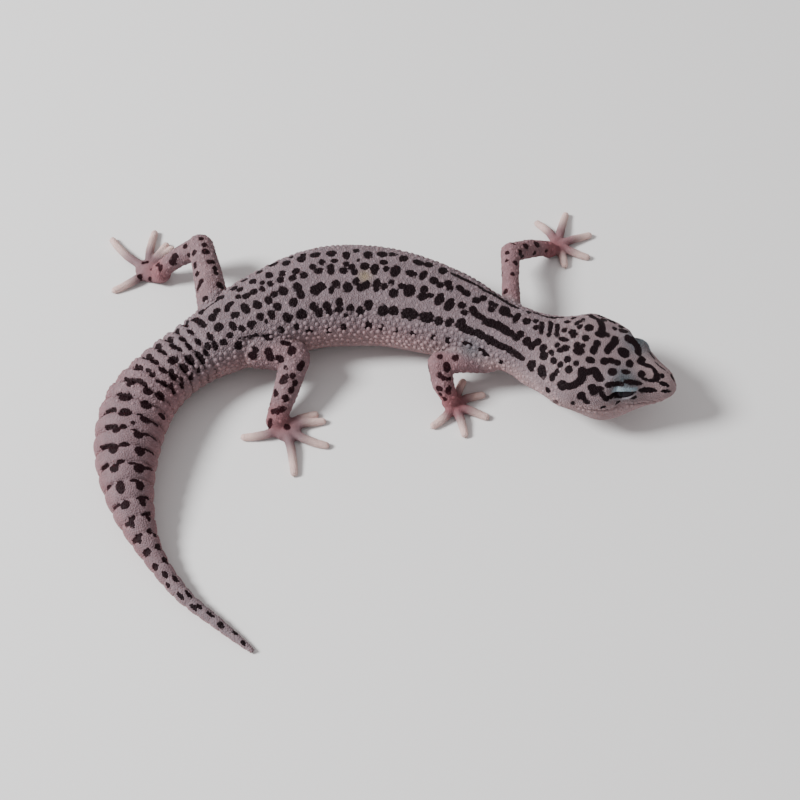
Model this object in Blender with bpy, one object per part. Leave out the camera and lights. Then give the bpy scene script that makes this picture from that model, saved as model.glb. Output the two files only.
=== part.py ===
"""A leopard gecko at life size, lying low on its belly with its head raised a little and its fat tail curled
round its right side. Each named part of the body is one solid: head, lower jaw, eyes, neck, trunk, three
lengths of tail, and the upper limb, lower limb and foot of each leg.

The body is one long loft along the backbone, parted where a person would name its pieces. The legs are
rounded tubes between their joints, and each foot is a palm with five clawed toes joined into one.
All sizes are in millimetres. The snout points along +X and the animal's right side faces -Y.
"""

import math

import bmesh
import bpy
from mathutils import Vector

MM = 0.001
GAP = 0.3  # between neighbouring solids
UP = Vector((0, 0, 1))

# ---------------------------------------------------------------- driving dimensions

# The backbone seen from above: distance from the snout tip, x, y.
BACKBONE = [
    (0, 63.7, -1.2),
    (12, 52.3, 3.0),
    (24, 40.9, 7.2),
    (34, 32.0, 11.7),
    (44, 22.9, 16.2),
    (55, 13.3, 21.4),
    (68, 0.7, 25.6),
    (81, -12.4, 25.5),
    (94, -24.6, 20.8),
    (106, -34.9, 14.7),
    (118, -44.5, 7.6),
    (129, -51.1, -1.5),
    (140, -53.3, -12.4),
    (152, -51.9, -24.2),
    (164, -47.4, -35.2),
    (177, -39.7, -45.7),
    (188, -31.2, -52.7),
    (197.5, -24.4, -58.1),
]

# Distance from the snout tip, height of the widest line, half width there, reach above and below it,
# and how square the section is (2 is an ellipse).
PROFILE = [
    (0.0, 10.4, 1.2, 1.0, 0.9, 2.0),
    (0.7, 10.5, 2.4, 2.0, 1.9, 2.1),
    (2.5, 10.6, 3.9, 3.2, 3.3, 2.2),
    (6.0, 10.8, 5.9, 4.3, 5.1, 2.3),
    (9.5, 11.0, 8.0, 5.1, 6.5, 2.3),
    (13.5, 11.0, 9.9, 6.0, 7.1, 2.3),
    (18.0, 11.0, 11.4, 6.6, 6.7, 2.3),
    (21.5, 10.9, 11.9, 6.8, 5.8, 2.2),
    (25.0, 10.7, 10.8, 6.4, 5.4, 2.2),
    (29.5, 10.4, 8.9, 5.9, 6.2, 2.2),
    (34.0, 10.0, 8.1, 5.8, 6.0, 2.2),
    (43.0, 9.6, 8.8, 6.4, 6.8, 2.2),
    (52.0, 9.3, 10.4, 7.5, 8.6, 2.2),
    (64.0, 9.0, 11.8, 8.4, 9.4, 2.2),
    (78.0, 9.0, 12.6, 8.5, 9.4, 2.2),
    (90.0, 8.9, 11.4, 7.9, 9.1, 2.2),
    (100.0, 8.7, 9.6, 7.1, 8.6, 2.2),
    (108.0, 8.0, 8.2, 6.4, 7.8, 2.2),
    (114.0, 7.3, 7.4, 5.9, 7.0, 2.1),
    (122.0, 6.9, 7.4, 6.1, 6.9, 2.0),
    (132.0, 6.8, 7.8, 6.4, 7.0, 2.0),
    (142.0, 6.2, 7.1, 5.9, 6.5, 2.0),
    (154.0, 4.8, 5.0, 4.5, 5.0, 2.0),
    (166.0, 2.9, 2.7, 2.6, 3.0, 2.0),
    (178.0, 1.9, 1.9, 1.7, 2.0, 2.0),
    (188.0, 1.3, 1.2, 1.1, 1.4, 2.0),
    (195.0, 0.8, 0.6, 0.6, 0.9, 2.0),
    (197.5, 0.6, 0.35, 0.35, 0.7, 2.0),
]

# Bulges on both sides of the head and body: distance from the snout tip, degrees round from the midline of
# the back, height, and how far each spreads along and round.
BULGES = [
    (10.2, 50, 0.7, 3.6, 22),
    (15.0, 80, 0.8, 3.4, 26),
    (22.5, 100, 0.5, 3.5, 30),
    (12.5, 122, 2.2, 5.5, 24),
    (30.0, 110, 0.8, 3.2, 28),
]

BODY_SIDES = 24

# Where the long loft is parted, and how far apart its rings stand.
BODY_LENGTHS = {
    "head": (0.0, 28.0, 1.6),
    "neck": (28.0, 40.0, 3.0),
    "trunk": (40.0, 109.0, 5.4),
    "tail_base": (109.0, 139.0, 2.5),
    "tail_middle": (139.0, 168.0, 3.3),
    "tail_tip": (168.0, 197.5, 3.7),
}

MOUTH_HEIGHT = 9.2
MOUTH_CORNER = 18.5  # distance from the snout tip

EYE_PLACE = (10.3, 4.5, 12.75)  # distance from the snout tip, sideways, height
EYE_RADIUS = 3.05

# Each leg: its upper and lower limb as runs of x, y, z and radius; the palm as x, y and half width; and the
# tips of the five toes as x, y and how far each bows to its left.
LEGS = {
    "front_left": {
        "upper": [(29.6, 21.0, 9.0, 2.3), (29.7, 30.0, 9.4, 2.0), (30.1, 38.6, 8.6, 2.3)],
        "lower": [(30.4, 39.1, 8.4, 2.3), (35.0, 42.5, 5.8, 2.25), (39.8, 45.2, 2.9, 1.7)],
        "palm": (42.2, 47.3, 2.1),
        "toes": [
            (37.3, 55.8, -0.6), (45.0, 58.5, 0.2), (50.8, 51.5, 0.2), (49.8, 43.9, -0.3), (43.8, 40.9, 0.2),
        ],
    },
    "front_right": {
        "upper": [(23.5, 9.0, 7.8, 3.3), (18.0, 7.8, 8.6, 2.7), (13.4, 7.3, 8.4, 2.6)],
        "lower": [(13.3, 6.9, 8.0, 2.6), (14.0, 3.5, 6.0, 2.5), (15.6, 1.4, 3.0, 1.8)],
        "palm": (16.7, 0.7, 2.1),
        "toes": [(11.3, -4.7, 0.4), (19.0, -7.2, 0.2), (24.4, -2.0, 0.1), (23.7, 4.6, 0.6), (18.9, 8.7, 0.3)],
    },
    "hind_left": {
        "upper": [(-36.5, 19.5, 8.5, 3.9), (-39.4, 32.5, 9.6, 3.3), (-41.3, 39.8, 9.6, 2.9)],
        "lower": [(-41.9, 39.9, 9.2, 2.8), (-46.9, 39.0, 6.8, 2.3), (-51.4, 37.8, 3.4, 2.0)],
        "palm": (-54.3, 39.6, 2.9),
        "toes": [
            (-64.9, 50.2, 0.9), (-54.4, 52.7, 0.6), (-51.0, 48.8, 0.2), (-49.4, 47.6, 0.2), (-62.8, 33.6, 0.5),
        ],
    },
    "hind_right": {
        "upper": [(-33.5, 14.6, 7.8, 4.8), (-26.5, 11.6, 8.2, 4.6), (-18.7, 9.2, 8.1, 3.5)],
        "lower": [(-18.5, 8.2, 7.6, 3.2), (-20.3, 2.0, 5.6, 2.85), (-22.3, -3.6, 2.9, 2.3)],
        "palm": (-20.3, -5.2, 2.85),
        "toes": [
            (-30.3, -7.3, 0.6), (-17.9, -17.2, 0.3), (-10.6, -9.6, -0.7), (-11.4, -2.6, 0.3), (-13.2, -0.6, 0.6),
        ],
    },
}
LIMB_SIDES = 12
TOE_SIDES = 7
TOE_RADIUS = 1.02
CLAW_LENGTH = 1.0

# Each finish: colour and roughness.
SKIN = ((0.42, 0.35, 0.37), 0.55)
LIMB_SKIN = ((0.47, 0.34, 0.35), 0.55)
FOOT_SKIN = ((0.60, 0.44, 0.42), 0.50)
EYE = ((0.012, 0.008, 0.016), 0.06)


# ---------------------------------------------------------------- smooth curves through rows


def through(rows, at):
    """The row at a distance, on a smooth curve through rows that each start with their own distance."""
    last = len(rows) - 2
    i = next((k for k in range(last) if at < rows[k + 1][0]), last)
    before, a, b, after = rows[max(i - 1, 0)], rows[i], rows[i + 1], rows[min(i + 2, last + 1)]
    span = b[0] - a[0]
    t = (at - a[0]) / span
    found = []
    for k in range(1, len(a)):
        slope_a = (b[k] - before[k]) / (b[0] - before[0]) * span
        slope_b = (after[k] - a[k]) / (after[0] - a[0]) * span
        found.append(
            (2 * t**3 - 3 * t**2 + 1) * a[k]
            + (t**3 - 2 * t**2 + t) * slope_a
            + (3 * t**2 - 2 * t**3) * b[k]
            + (t**3 - t**2) * slope_b
        )
    return found


def steps(start, end, pitch):
    """Distances from start to end, about a pitch apart."""
    count = max(1, round((end - start) / pitch))
    return [start + (end - start) * k / count for k in range(count + 1)]


# ---------------------------------------------------------------- the body's sections


def body_frame(at):
    """Centre of the body at a distance, and the directions towards the snout and the right side."""
    x, y = through(BACKBONE, at)
    ahead = Vector(through(BACKBONE, at - 0.5)) - Vector(through(BACKBONE, at + 0.5))
    forward = Vector((ahead.x, ahead.y, 0)).normalized()
    return Vector((x, y, through(PROFILE, at)[0])), forward, forward.cross(UP)


def body_point(at, degrees, grow=0.0):
    """A point of the body's surface; degrees run from the midline of the back down the right side."""
    centre, _, right = body_frame(at)
    _, half_width, above, below, square = through(PROFILE, at)
    for place, round_at, height, along, around in BULGES:
        off = (abs((degrees + 180) % 360 - 180) - round_at) / around
        grow += height * math.exp(-(((at - place) / along) ** 2) - off**2)
    sine, cosine = math.sin(math.radians(degrees)), math.cos(math.radians(degrees))
    out = math.copysign(abs(sine) ** (2 / square), sine) * (half_width + grow)
    rise = math.copysign(abs(cosine) ** (2 / square), cosine)
    rise *= (above if cosine > 0 else below) + grow
    return centre + right * out + UP * rise


def body_ring(at, grow=0.0):
    """Points round the body at a distance, none below the floor."""
    ring = [body_point(at, 360 * k / BODY_SIDES, grow) for k in range(BODY_SIDES)]
    return [Vector((p.x, p.y, max(p.z, -grow))) for p in ring]


def tube(points, sides, grow=0.0):
    """Rings round a run of points that each carry a radius, with rounded ends."""
    rows = [(Vector(point[:3]), point[3] + grow) for point in points]
    stations = []
    for k, (centre, radius) in enumerate(rows):
        ahead = (rows[min(k + 1, len(rows) - 1)][0] - rows[max(k - 1, 0)][0]).normalized()
        bends = (0,)
        if k == 0:
            bends = (-80, -45, 0)
        if k == len(rows) - 1:
            bends = (0, 45, 80)
        for bend in bends:
            turn = math.radians(bend)
            stations.append((centre + ahead * radius * math.sin(turn), ahead, radius * math.cos(turn)))
    rings = []
    for centre, ahead, radius in stations:
        side = ahead.cross(UP).normalized()
        over = side.cross(ahead)
        turns = [math.tau * k / sides for k in range(sides)]
        rings.append([centre + (side * math.sin(turn) + over * math.cos(turn)) * radius for turn in turns])
    return rings


# ---------------------------------------------------------------- making solids


def solid(name, bm, finish=None):
    """One object holding a bmesh, its faces turned outwards, in a finish of its own unless it only cuts."""
    bmesh.ops.recalc_face_normals(bm, faces=bm.faces)
    mesh = bpy.data.meshes.new(name)
    bm.to_mesh(mesh)
    bm.free()
    if finish:
        colour, roughness = finish
        material = bpy.data.materials.new(name)
        material.use_nodes = True
        shader = material.node_tree.nodes["Principled BSDF"]
        shader.inputs["Base Color"].default_value = (*colour, 1)
        shader.inputs["Roughness"].default_value = roughness
        shader.inputs["Metallic"].default_value = 0.0
        mesh.materials.append(material)
    made = bpy.data.objects.new(name, mesh)
    bpy.context.scene.collection.objects.link(made)
    return made


def loft(name, rings, finish=None):
    """A closed solid through rings of points, with a flat face at each end."""
    bm = bmesh.new()
    loops = []
    for place, ring in enumerate(rings):
        verts = [bm.verts.new(point * MM) for point in ring]
        loops.append([bm.edges.new((a, b)) for a, b in zip(verts, verts[1:] + verts[:1])])
        if place in (0, len(rings) - 1):
            bm.faces.new(verts)
    for near, far in zip(loops, loops[1:]):
        bmesh.ops.bridge_loops(bm, edges=near + far)
    return solid(name, bm, finish)


def ball(name, centre, radius, finish=None):
    """A faceted ball."""
    bm = bmesh.new()
    bmesh.ops.create_uvsphere(bm, u_segments=16, v_segments=10, radius=radius * MM)
    bmesh.ops.translate(bm, verts=bm.verts, vec=centre * MM)
    return solid(name, bm, finish)


def combine(kept, other, operation):
    """Cut another solid from one, join it on or keep only what they share; the other is used up."""
    step = kept.modifiers.new("combine", "BOOLEAN")
    step.operation = operation
    step.solver = "EXACT"
    step.object = other
    shape = bpy.data.meshes.new_from_object(kept.evaluated_get(bpy.context.evaluated_depsgraph_get()))
    kept.modifiers.clear()
    kept.data = shape
    bpy.data.objects.remove(other)


# ---------------------------------------------------------------- the body


def build_body():
    """Every length of the long loft, from the head to the tip of the tail."""
    for name, (start, end, pitch) in BODY_LENGTHS.items():
        first = start + (GAP / 2 if start else 0)
        last = end - (GAP / 2 if end < BACKBONE[-1][0] else 0)
        loft(name, [body_ring(at) for at in steps(first, last, pitch)], SKIN)


def jaw_block(grow):
    """A block holding all of the head below the mouth line and ahead of the mouth's corner."""
    corner, forward, right = body_frame(MOUTH_CORNER)
    back = Vector((corner.x, corner.y, 0)) - forward * grow
    front = back + forward * (MOUTH_CORNER + 4)
    top = MOUTH_HEIGHT + grow
    rings = []
    for place in (back, front):
        corners = ((-16, 1), (16, 1), (16, top), (-16, top))
        rings.append([place + right * side + UP * height for side, height in corners])
    return loft("jaw_block", rings)


def build_jaw_and_eyes():
    """The lower jaw parted from the head at the mouth line, and an eye in a socket on each side."""
    head = bpy.data.objects["head"]
    jaw = loft("lower_jaw", [body_ring(at) for at in steps(0.0, MOUTH_CORNER + 3, 1.6)], SKIN)
    combine(jaw, jaw_block(0.0), "INTERSECT")
    combine(head, jaw_block(GAP), "DIFFERENCE")
    along, sideways, height = EYE_PLACE
    centre, _, right = body_frame(along)
    for name, side in (("eye_left", -1), ("eye_right", 1)):
        place = Vector((centre.x, centre.y, height)) + right * side * sideways
        combine(head, ball("socket", place, EYE_RADIUS + GAP), "DIFFERENCE")
        ball(name, place, EYE_RADIUS, EYE)


# ---------------------------------------------------------------- the legs


def toe_run(palm, tip, bow):
    """A toe from its root in the palm over a raised knuckle to where its claw begins."""
    start, end = Vector((palm[0], palm[1], 0)), Vector((tip[0], tip[1], 0))
    ahead = (end - start).normalized()
    left = UP.cross(ahead)
    run = []
    for t, height, thick in ((0.18, 1.3, 1.0), (0.5, 1.2, 0.95), (0.8, 0.8, 0.87), (1.0, 0.65, 0.78)):
        place = start.lerp(end - ahead * CLAW_LENGTH, t) + left * bow * math.sin(math.pi * t)
        run.append((place.x, place.y, height, TOE_RADIUS * thick))
    return run


def claw_rings(root, before):
    """A short claw on the end of a toe, hooked down to the floor."""
    ahead = Vector((root[0] - before[0], root[1] - before[1], 0)).normalized()
    side = ahead.cross(UP)
    rings = []
    for t, height, radius in ((-0.3, 0.75, 0.42), (0.9, 0.7, 0.3), (1.5, 0.4, 0.17)):
        place = Vector((root[0], root[1], height)) + ahead * CLAW_LENGTH * t
        turns = [math.tau * k / 5 for k in range(5)]
        rings.append([place + side * radius * math.sin(a) + UP * radius * math.cos(a) for a in turns])
    return rings


def palm_rings(leg):
    """The palm, from the wrist or ankle to the roots of the toes, low and broad."""
    x, y, half_width = leg["palm"]
    wrist = Vector(leg["lower"][-1][:3])
    middle = Vector((x, y, 1.3))
    ahead = Vector((x - wrist.x, y - wrist.y, 0)).normalized()
    front = middle + ahead * half_width * 0.35
    run = [
        (wrist.x, wrist.y, wrist.z * 0.65, half_width * 0.75),
        (middle.x, middle.y, middle.z, half_width),
        (front.x, front.y, 1.0, half_width * 0.9),
    ]
    rings = tube(run, LIMB_SIDES)
    for ring in rings:
        for point in ring:
            if point.z > 1.5:
                point.z = 1.5 + (point.z - 1.5) * 0.4
    return rings


def build_leg(name, leg):
    """Upper limb, lower limb and foot, each cut back where it meets the one before."""
    upper = loft(name + "_upper", tube(leg["upper"], LIMB_SIDES), LIMB_SKIN)
    lower = loft(name + "_lower", tube(leg["lower"], LIMB_SIDES), LIMB_SKIN)
    foot = loft(name + "_foot", palm_rings(leg), FOOT_SKIN)
    for tip_x, tip_y, bow in leg["toes"]:
        run = toe_run(leg["palm"], (tip_x, tip_y), bow)
        combine(foot, loft("toe", tube(run, TOE_SIDES)), "UNION")
        combine(foot, loft("claw", claw_rings(run[-1], run[-2])), "UNION")
    corners = ((-90, -90), (90, -90), (90, 90), (-90, 90))
    floor = loft("floor", [[Vector((x, y, z)) for x, y in corners] for z in (-20, 0)])
    combine(foot, floor, "DIFFERENCE")
    for start, end, pitch in BODY_LENGTHS.values():
        grown = loft("grown", [body_ring(at, GAP) for at in steps(start - 0.3, end + 0.3, pitch)])
        combine(upper, grown, "DIFFERENCE")
    combine(lower, loft("grown", tube(leg["upper"], LIMB_SIDES, GAP)), "DIFFERENCE")
    combine(foot, loft("grown", tube(leg["lower"], LIMB_SIDES, GAP)), "DIFFERENCE")


# ---------------------------------------------------------------- all of it


def main():
    for old in list(bpy.data.objects):
        bpy.data.objects.remove(old)
    build_body()
    build_jaw_and_eyes()
    for name, leg in LEGS.items():
        build_leg(name, leg)
    for made in bpy.data.objects:
        made.data.shade_smooth()
        made.data.set_sharp_from_angle(angle=math.radians(40))


main()
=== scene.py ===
"""A leopard gecko at life size, lying low on a pale floor with its head raised and its fat tail curled.

One skin covers the whole animal. Over it lie small scales and raised tubercles, and set into it are the eyes
and the claws. Everything is worked out in millimetres and put into the scene in metres.
"""

import math

import bmesh
import bpy
import numpy as np
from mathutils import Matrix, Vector, noise
from mathutils.kdtree import KDTree


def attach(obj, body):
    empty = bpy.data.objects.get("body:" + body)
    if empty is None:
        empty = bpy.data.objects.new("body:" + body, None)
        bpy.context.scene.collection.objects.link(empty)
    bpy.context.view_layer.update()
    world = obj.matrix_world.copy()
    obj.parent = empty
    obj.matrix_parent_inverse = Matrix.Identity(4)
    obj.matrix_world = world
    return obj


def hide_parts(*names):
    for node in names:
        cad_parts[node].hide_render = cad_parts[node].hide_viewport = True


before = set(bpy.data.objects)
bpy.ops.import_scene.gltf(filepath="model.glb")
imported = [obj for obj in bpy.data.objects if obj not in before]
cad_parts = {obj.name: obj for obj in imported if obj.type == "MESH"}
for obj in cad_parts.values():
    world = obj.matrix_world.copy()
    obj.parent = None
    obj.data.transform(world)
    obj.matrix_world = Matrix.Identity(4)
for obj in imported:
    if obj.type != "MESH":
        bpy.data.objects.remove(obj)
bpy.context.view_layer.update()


# ---------------------------------------------------------------- the floor, the light and the view
# A wide matt table top in pale grey, lit by one big soft lamp from the left and a little behind, with a pale
# room all round. The camera looks down at the animal's right side.

FLOOR_SIZE = 2.4
FLOOR_COLOUR = (0.74, 0.74, 0.745, 1)
FLOOR_ROUGHNESS = 0.7
FLOOR_SHINE = 0.2


def as_mesh(bm, name):
    """A mesh of what a bmesh holds."""
    mesh = bpy.data.meshes.new(name)
    bm.to_mesh(mesh)
    bm.free()
    return mesh


def placed(name, data):
    """A new object in the scene, for a mesh, a lamp or a camera."""
    thing = bpy.data.objects.new(name, data)
    bpy.context.scene.collection.objects.link(thing)
    return thing


def new_material(name):
    """A new material, with its nodes, its links and its shader."""
    material = bpy.data.materials.new(name)
    material.use_nodes = True
    nodes = material.node_tree.nodes
    return material, nodes, material.node_tree.links, nodes["Principled BSDF"]


def set_inputs(node, values):
    """Sets a node's inputs by name."""
    for name, value in values.items():
        node.inputs[name].default_value = value


bm = bmesh.new()
bmesh.ops.create_grid(bm, x_segments=4, y_segments=4, size=FLOOR_SIZE / 2)
floor = placed("floor", as_mesh(bm, "floor"))
floor_paint, _, _, shader = new_material("floor_paint")
set_inputs(shader, {
    "Base Color": FLOOR_COLOUR, "Roughness": FLOOR_ROUGHNESS, "Specular IOR Level": FLOOR_SHINE,
})
floor.data.materials.append(floor_paint)

LAMP_FROM = Vector((-0.90, -0.03, 0.80)).normalized()
LAMP_DISTANCE = 1.1
LAMP_WIDTH = 0.34
LAMP_POWER = 23
LAMP_COLOUR = (0.99, 0.99, 0.98)
ROOM_LIGHT = (1.0, 0.95, 0.945, 1)
ROOM_STRENGTH = 0.58

lamp_data = bpy.data.lights.new("lamp", "AREA")
lamp_data.shape = "DISK"
lamp_data.size = LAMP_WIDTH
lamp_data.energy = LAMP_POWER
lamp_data.color = LAMP_COLOUR
lamp = placed("lamp", lamp_data)
lamp.location = LAMP_FROM * LAMP_DISTANCE
lamp.rotation_euler = LAMP_FROM.to_track_quat("Z", "Y").to_euler()

room = bpy.data.worlds.new("room")
room.use_nodes = True
set_inputs(room.node_tree.nodes["Background"], {"Color": ROOM_LIGHT, "Strength": ROOM_STRENGTH})
bpy.context.scene.world = room

AIM = Vector((0.0046, 0.0033, 0.0))
CAMERA_RISE = math.radians(55)
CAMERA_DISTANCE = 0.3317
CAMERA_ANGLE = math.radians(30)

camera_data = bpy.data.cameras.new("camera")
camera_data.sensor_fit = "HORIZONTAL"
camera_data.angle = CAMERA_ANGLE
camera_data.clip_start = 0.01
camera = placed("camera", camera_data)
towards_camera = Vector((0, -math.cos(CAMERA_RISE), math.sin(CAMERA_RISE)))
camera.location = AIM + towards_camera * CAMERA_DISTANCE
camera.rotation_euler = (math.pi / 2 - CAMERA_RISE, 0, 0)
bpy.context.scene.camera = camera


# ---------------------------------------------------------------- the form of the body
# Head, neck, trunk and tail are one long rounded form along the bent backbone. A place on it is a distance
# from the tip of the snout and an angle round from the midline of the back, rising down the right side.

BACKBONE = np.array([
    (0, 63.7, -1.2), (12, 52.3, 3), (24, 40.9, 7.2), (34, 32, 11.7), (44, 22.9, 16.2), (55, 13.3, 21.4),
    (68, 0.7, 25.6), (81, -12.4, 25.5), (94, -24.6, 20.8), (106, -34.9, 14.7), (118, -44.5, 7.6),
    (129, -51.1, -1.5), (140, -53.3, -12.4), (152, -51.9, -24.2), (164, -47.4, -35.2), (177, -39.7, -45.7),
    (188, -31.2, -52.7), (197.5, -24.4, -58.1),
])  # distance from the snout tip, x, y

PROFILE = np.array([
    (0, 10.4, 1.2, 1, 0.9, 2), (0.7, 10.5, 2.4, 2, 1.9, 2.1), (2.5, 10.6, 3.9, 3.2, 3.3, 2.2),
    (6, 10.8, 5.9, 4.3, 5.1, 2.3), (9.5, 11, 8, 5.1, 6.5, 2.3), (13.5, 11, 9.9, 6, 7.1, 2.3),
    (18, 11, 11.4, 6.6, 6.7, 2.3), (21.5, 10.9, 11.9, 6.8, 5.8, 2.2), (25, 10.7, 10.8, 6.4, 5.4, 2.2),
    (29.5, 10.4, 8.9, 5.9, 6.2, 2.2), (34, 10, 8.1, 5.8, 6, 2.2), (43, 9.6, 8.8, 6.4, 6.8, 2.2),
    (52, 9.3, 10.4, 7.5, 8.6, 2.2), (64, 9, 11.8, 8.4, 9.4, 2.2), (78, 9, 12.6, 8.5, 9.4, 2.2),
    (90, 8.9, 11.4, 7.9, 9.1, 2.2), (100, 8.7, 9.6, 7.1, 8.6, 2.2), (108, 8, 8.2, 6.4, 7.8, 2.2),
    (114, 7.3, 7.4, 5.9, 7, 2.1), (122, 6.9, 7.4, 6.1, 6.9, 2), (132, 6.8, 7.8, 6.4, 7, 2),
    (142, 6.2, 7.1, 5.9, 6.5, 2), (154, 4.8, 5, 4.5, 5, 2), (166, 2.9, 2.7, 2.6, 3, 2),
    (178, 1.9, 1.9, 1.7, 2, 2), (188, 1.3, 1.2, 1.1, 1.4, 2), (195, 0.8, 0.6, 0.6, 0.9, 2),
    (197.5, 0.6, 0.35, 0.35, 0.7, 2),
])  # distance, height of the widest line, half width there, reach above and below it, squareness

BULGES = [
    (10.2, 50, 0.7, 3.6, 22), (15, 80, 0.8, 3.4, 26), (22.5, 100, 0.5, 3.5, 30), (12.5, 122, 2.2, 5.5, 24),
    (30, 110, 0.8, 3.2, 28),
]  # distance, angle, height, spread along and round
TAIL_END = 197.5
COAT_DEPTH = 0.28  # how far the skin lies under the tops of the scales


def through(rows, at):
    """Values at distances, on a smooth curve through rows that each start with their own distance."""
    i = np.clip(np.searchsorted(rows[:, 0], at, side="right") - 1, 0, len(rows) - 2)
    before, a, b, after = (rows[np.clip(i + k, 0, len(rows) - 1)] for k in (-1, 0, 1, 2))
    span = b[:, :1] - a[:, :1]
    t = (np.asarray(at)[:, None] - a[:, :1]) / span
    slope_a = (b - before) / (b[:, :1] - before[:, :1]) * span
    slope_b = (after - a) / (after[:, :1] - a[:, :1]) * span
    value = (2 * t**3 - 3 * t**2 + 1) * a + (t**3 - 2 * t**2 + t) * slope_a
    value += (3 * t**2 - 2 * t**3) * b + (t**3 - t**2) * slope_b
    return value[:, 1:]


def body_frame(at):
    """Centre of the body at distances, and the directions towards the snout and the right side."""
    ahead = through(BACKBONE, at - 0.5) - through(BACKBONE, at + 0.5)
    ahead /= np.linalg.norm(ahead, axis=1, keepdims=True)
    flat = np.zeros(len(at))
    centre = np.column_stack((through(BACKBONE, at), through(PROFILE, at)[:, 0]))
    forward = np.column_stack((ahead, flat))
    right = np.column_stack((ahead[:, 1], -ahead[:, 0], flat))
    return centre, forward, right


def swelling(at, degrees):
    """How far the bulges on both sides lift the body at places."""
    lift = np.zeros(len(at))
    for place, round_at, height, along, around in BULGES:
        off = (np.abs((degrees + 180) % 360 - 180) - round_at) / around
        lift += height * np.exp(-(((at - place) / along) ** 2) - off**2)
    return lift


def body_point(at, degrees, grow=0.0):
    """Points of the body's surface at places."""
    at, degrees = np.broadcast_arrays(np.asarray(at, float), np.asarray(degrees, float))
    at, degrees = at.ravel(), degrees.ravel()
    centre, _, right = body_frame(at)
    _, half_width, above, below, square = through(PROFILE, at).T
    grow = swelling(at, degrees) + grow
    sine, cosine = np.sin(np.radians(degrees)), np.cos(np.radians(degrees))
    out = np.sign(sine) * np.abs(sine) ** (2 / square) * (half_width + grow)
    rise = np.sign(cosine) * np.abs(cosine) ** (2 / square) * (np.where(cosine > 0, above, below) + grow)
    point = centre + right * out[:, None]
    point[:, 2] += rise
    return point


LINE_AT = np.arange(-3.0, 200.0, 0.5)  # distances at which the backbone is searched
LINE = through(BACKBONE, LINE_AT)


def body_place(points):
    """Distance along, degrees round, and height over the body's skin, of points."""
    at = np.empty(len(points))
    for part in np.array_split(np.arange(len(points)), 1 + len(points) // 4000):
        gaps = points[part, None, :2] - LINE[None]
        at[part] = LINE_AT[(gaps**2).sum(-1).argmin(1)]
    for _ in range(3):
        centre, forward, right = body_frame(at)
        at = np.clip(at - ((points - centre) * forward).sum(1), LINE_AT[0], TAIL_END + 2)
    centre, forward, right = body_frame(at)
    side, rise = ((points - centre) * right).sum(1), points[:, 2] - centre[:, 2]
    _, half_width, above, below, square = through(PROFILE, at).T
    reach = np.where(rise > 0, above, below)
    lift = np.full(len(at), -COAT_DEPTH)
    for _ in range(2):
        across = (np.abs(side) / (half_width + lift)) ** (square / 2)
        upward = (np.abs(rise) / (reach + lift)) ** (square / 2)
        degrees = np.degrees(np.arctan2(np.copysign(across, side), np.copysign(upward, rise)))
        lift = swelling(at, degrees) - COAT_DEPTH
    size = np.maximum((across**2 + upward**2) ** (1 / square), 1e-6)
    height = np.hypot(side, rise) * (1 - 1 / size)
    return at, degrees, height


# ---------------------------------------------------------------- the form of the legs
# Each leg is an upper and a lower limb, tapered between their joints, and a low broad palm with five slim
# toes. A limb is a run of x, y, z and radius. A palm is its middle and half width, and a toe is the place of
# its claw's tip and how far it bows to the left.

LEGS = {
    "front_left": {
        "upper": [(29.6, 21, 9, 2.3), (29.7, 30, 9.4, 2), (30.1, 38.6, 8.6, 2.3)],
        "lower": [(30.4, 39.1, 8.4, 2.3), (35, 42.5, 5.8, 2.25), (39.8, 45.2, 2.9, 1.7)],
        "palm": (42.2, 47.3, 2.1),
        "toes": [
            (37.3, 55.8, -0.6), (45, 58.5, 0.2), (50.8, 51.5, 0.2), (49.8, 43.9, -0.3), (43.8, 40.9, 0.2),
        ],
    },
    "front_right": {
        "upper": [(23.5, 9, 7.8, 3.3), (18, 7.8, 8.6, 2.7), (13.4, 7.3, 8.4, 2.6)],
        "lower": [(13.3, 6.9, 8, 2.6), (14, 3.5, 6, 2.5), (15.6, 1.4, 3, 1.8)],
        "palm": (16.7, 0.7, 2.1),
        "toes": [
            (11.3, -4.7, 0.4), (19, -7.2, 0.2), (24.4, -2, 0.1), (23.7, 4.6, 0.6), (18.9, 8.7, 0.3),
        ],
    },
    "hind_left": {
        "upper": [(-36.5, 19.5, 8.5, 3.9), (-39.4, 32.5, 9.6, 3.3), (-41.3, 39.8, 9.6, 2.9)],
        "lower": [(-41.9, 39.9, 9.2, 2.8), (-46.9, 39, 6.8, 2.3), (-51.4, 37.8, 3.4, 2)],
        "palm": (-54.3, 39.6, 2.9),
        "toes": [
            (-64.9, 50.2, 0.9), (-54.4, 52.7, 0.6), (-51, 48.8, 0.2), (-49.4, 47.6, 0.2), (-62.8, 33.6, 0.5),
        ],
    },
    "hind_right": {
        "upper": [(-33.5, 14.6, 7.8, 4.8), (-26.5, 11.6, 8.2, 4.6), (-18.7, 9.2, 8.1, 3.5)],
        "lower": [(-18.5, 8.2, 7.6, 3.2), (-20.3, 2, 5.6, 2.85), (-22.3, -3.6, 2.9, 2.3)],
        "palm": (-20.3, -5.2, 2.85),
        "toes": [
            (-30.3, -7.3, 0.6), (-17.9, -17.2, 0.3), (-10.6, -9.6, -0.7), (-11.4, -2.6, 0.3),
            (-13.2, -0.6, 0.6),
        ],
    },
}
TOE_RADIUS = 1.02
CLAW_LENGTH = 1.0
TOE_SHAPE = ((0.18, 1.3, 1.0), (0.5, 1.2, 0.95), (0.8, 0.8, 0.87), (1.0, 0.65, 0.78))  # along, height, size
LIMB_COAT = 0.15
FOOT_COAT = 0.04
PALM_TOP = 1.5  # above this the palm is pressed flat
PALM_PRESS = 0.4


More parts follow.
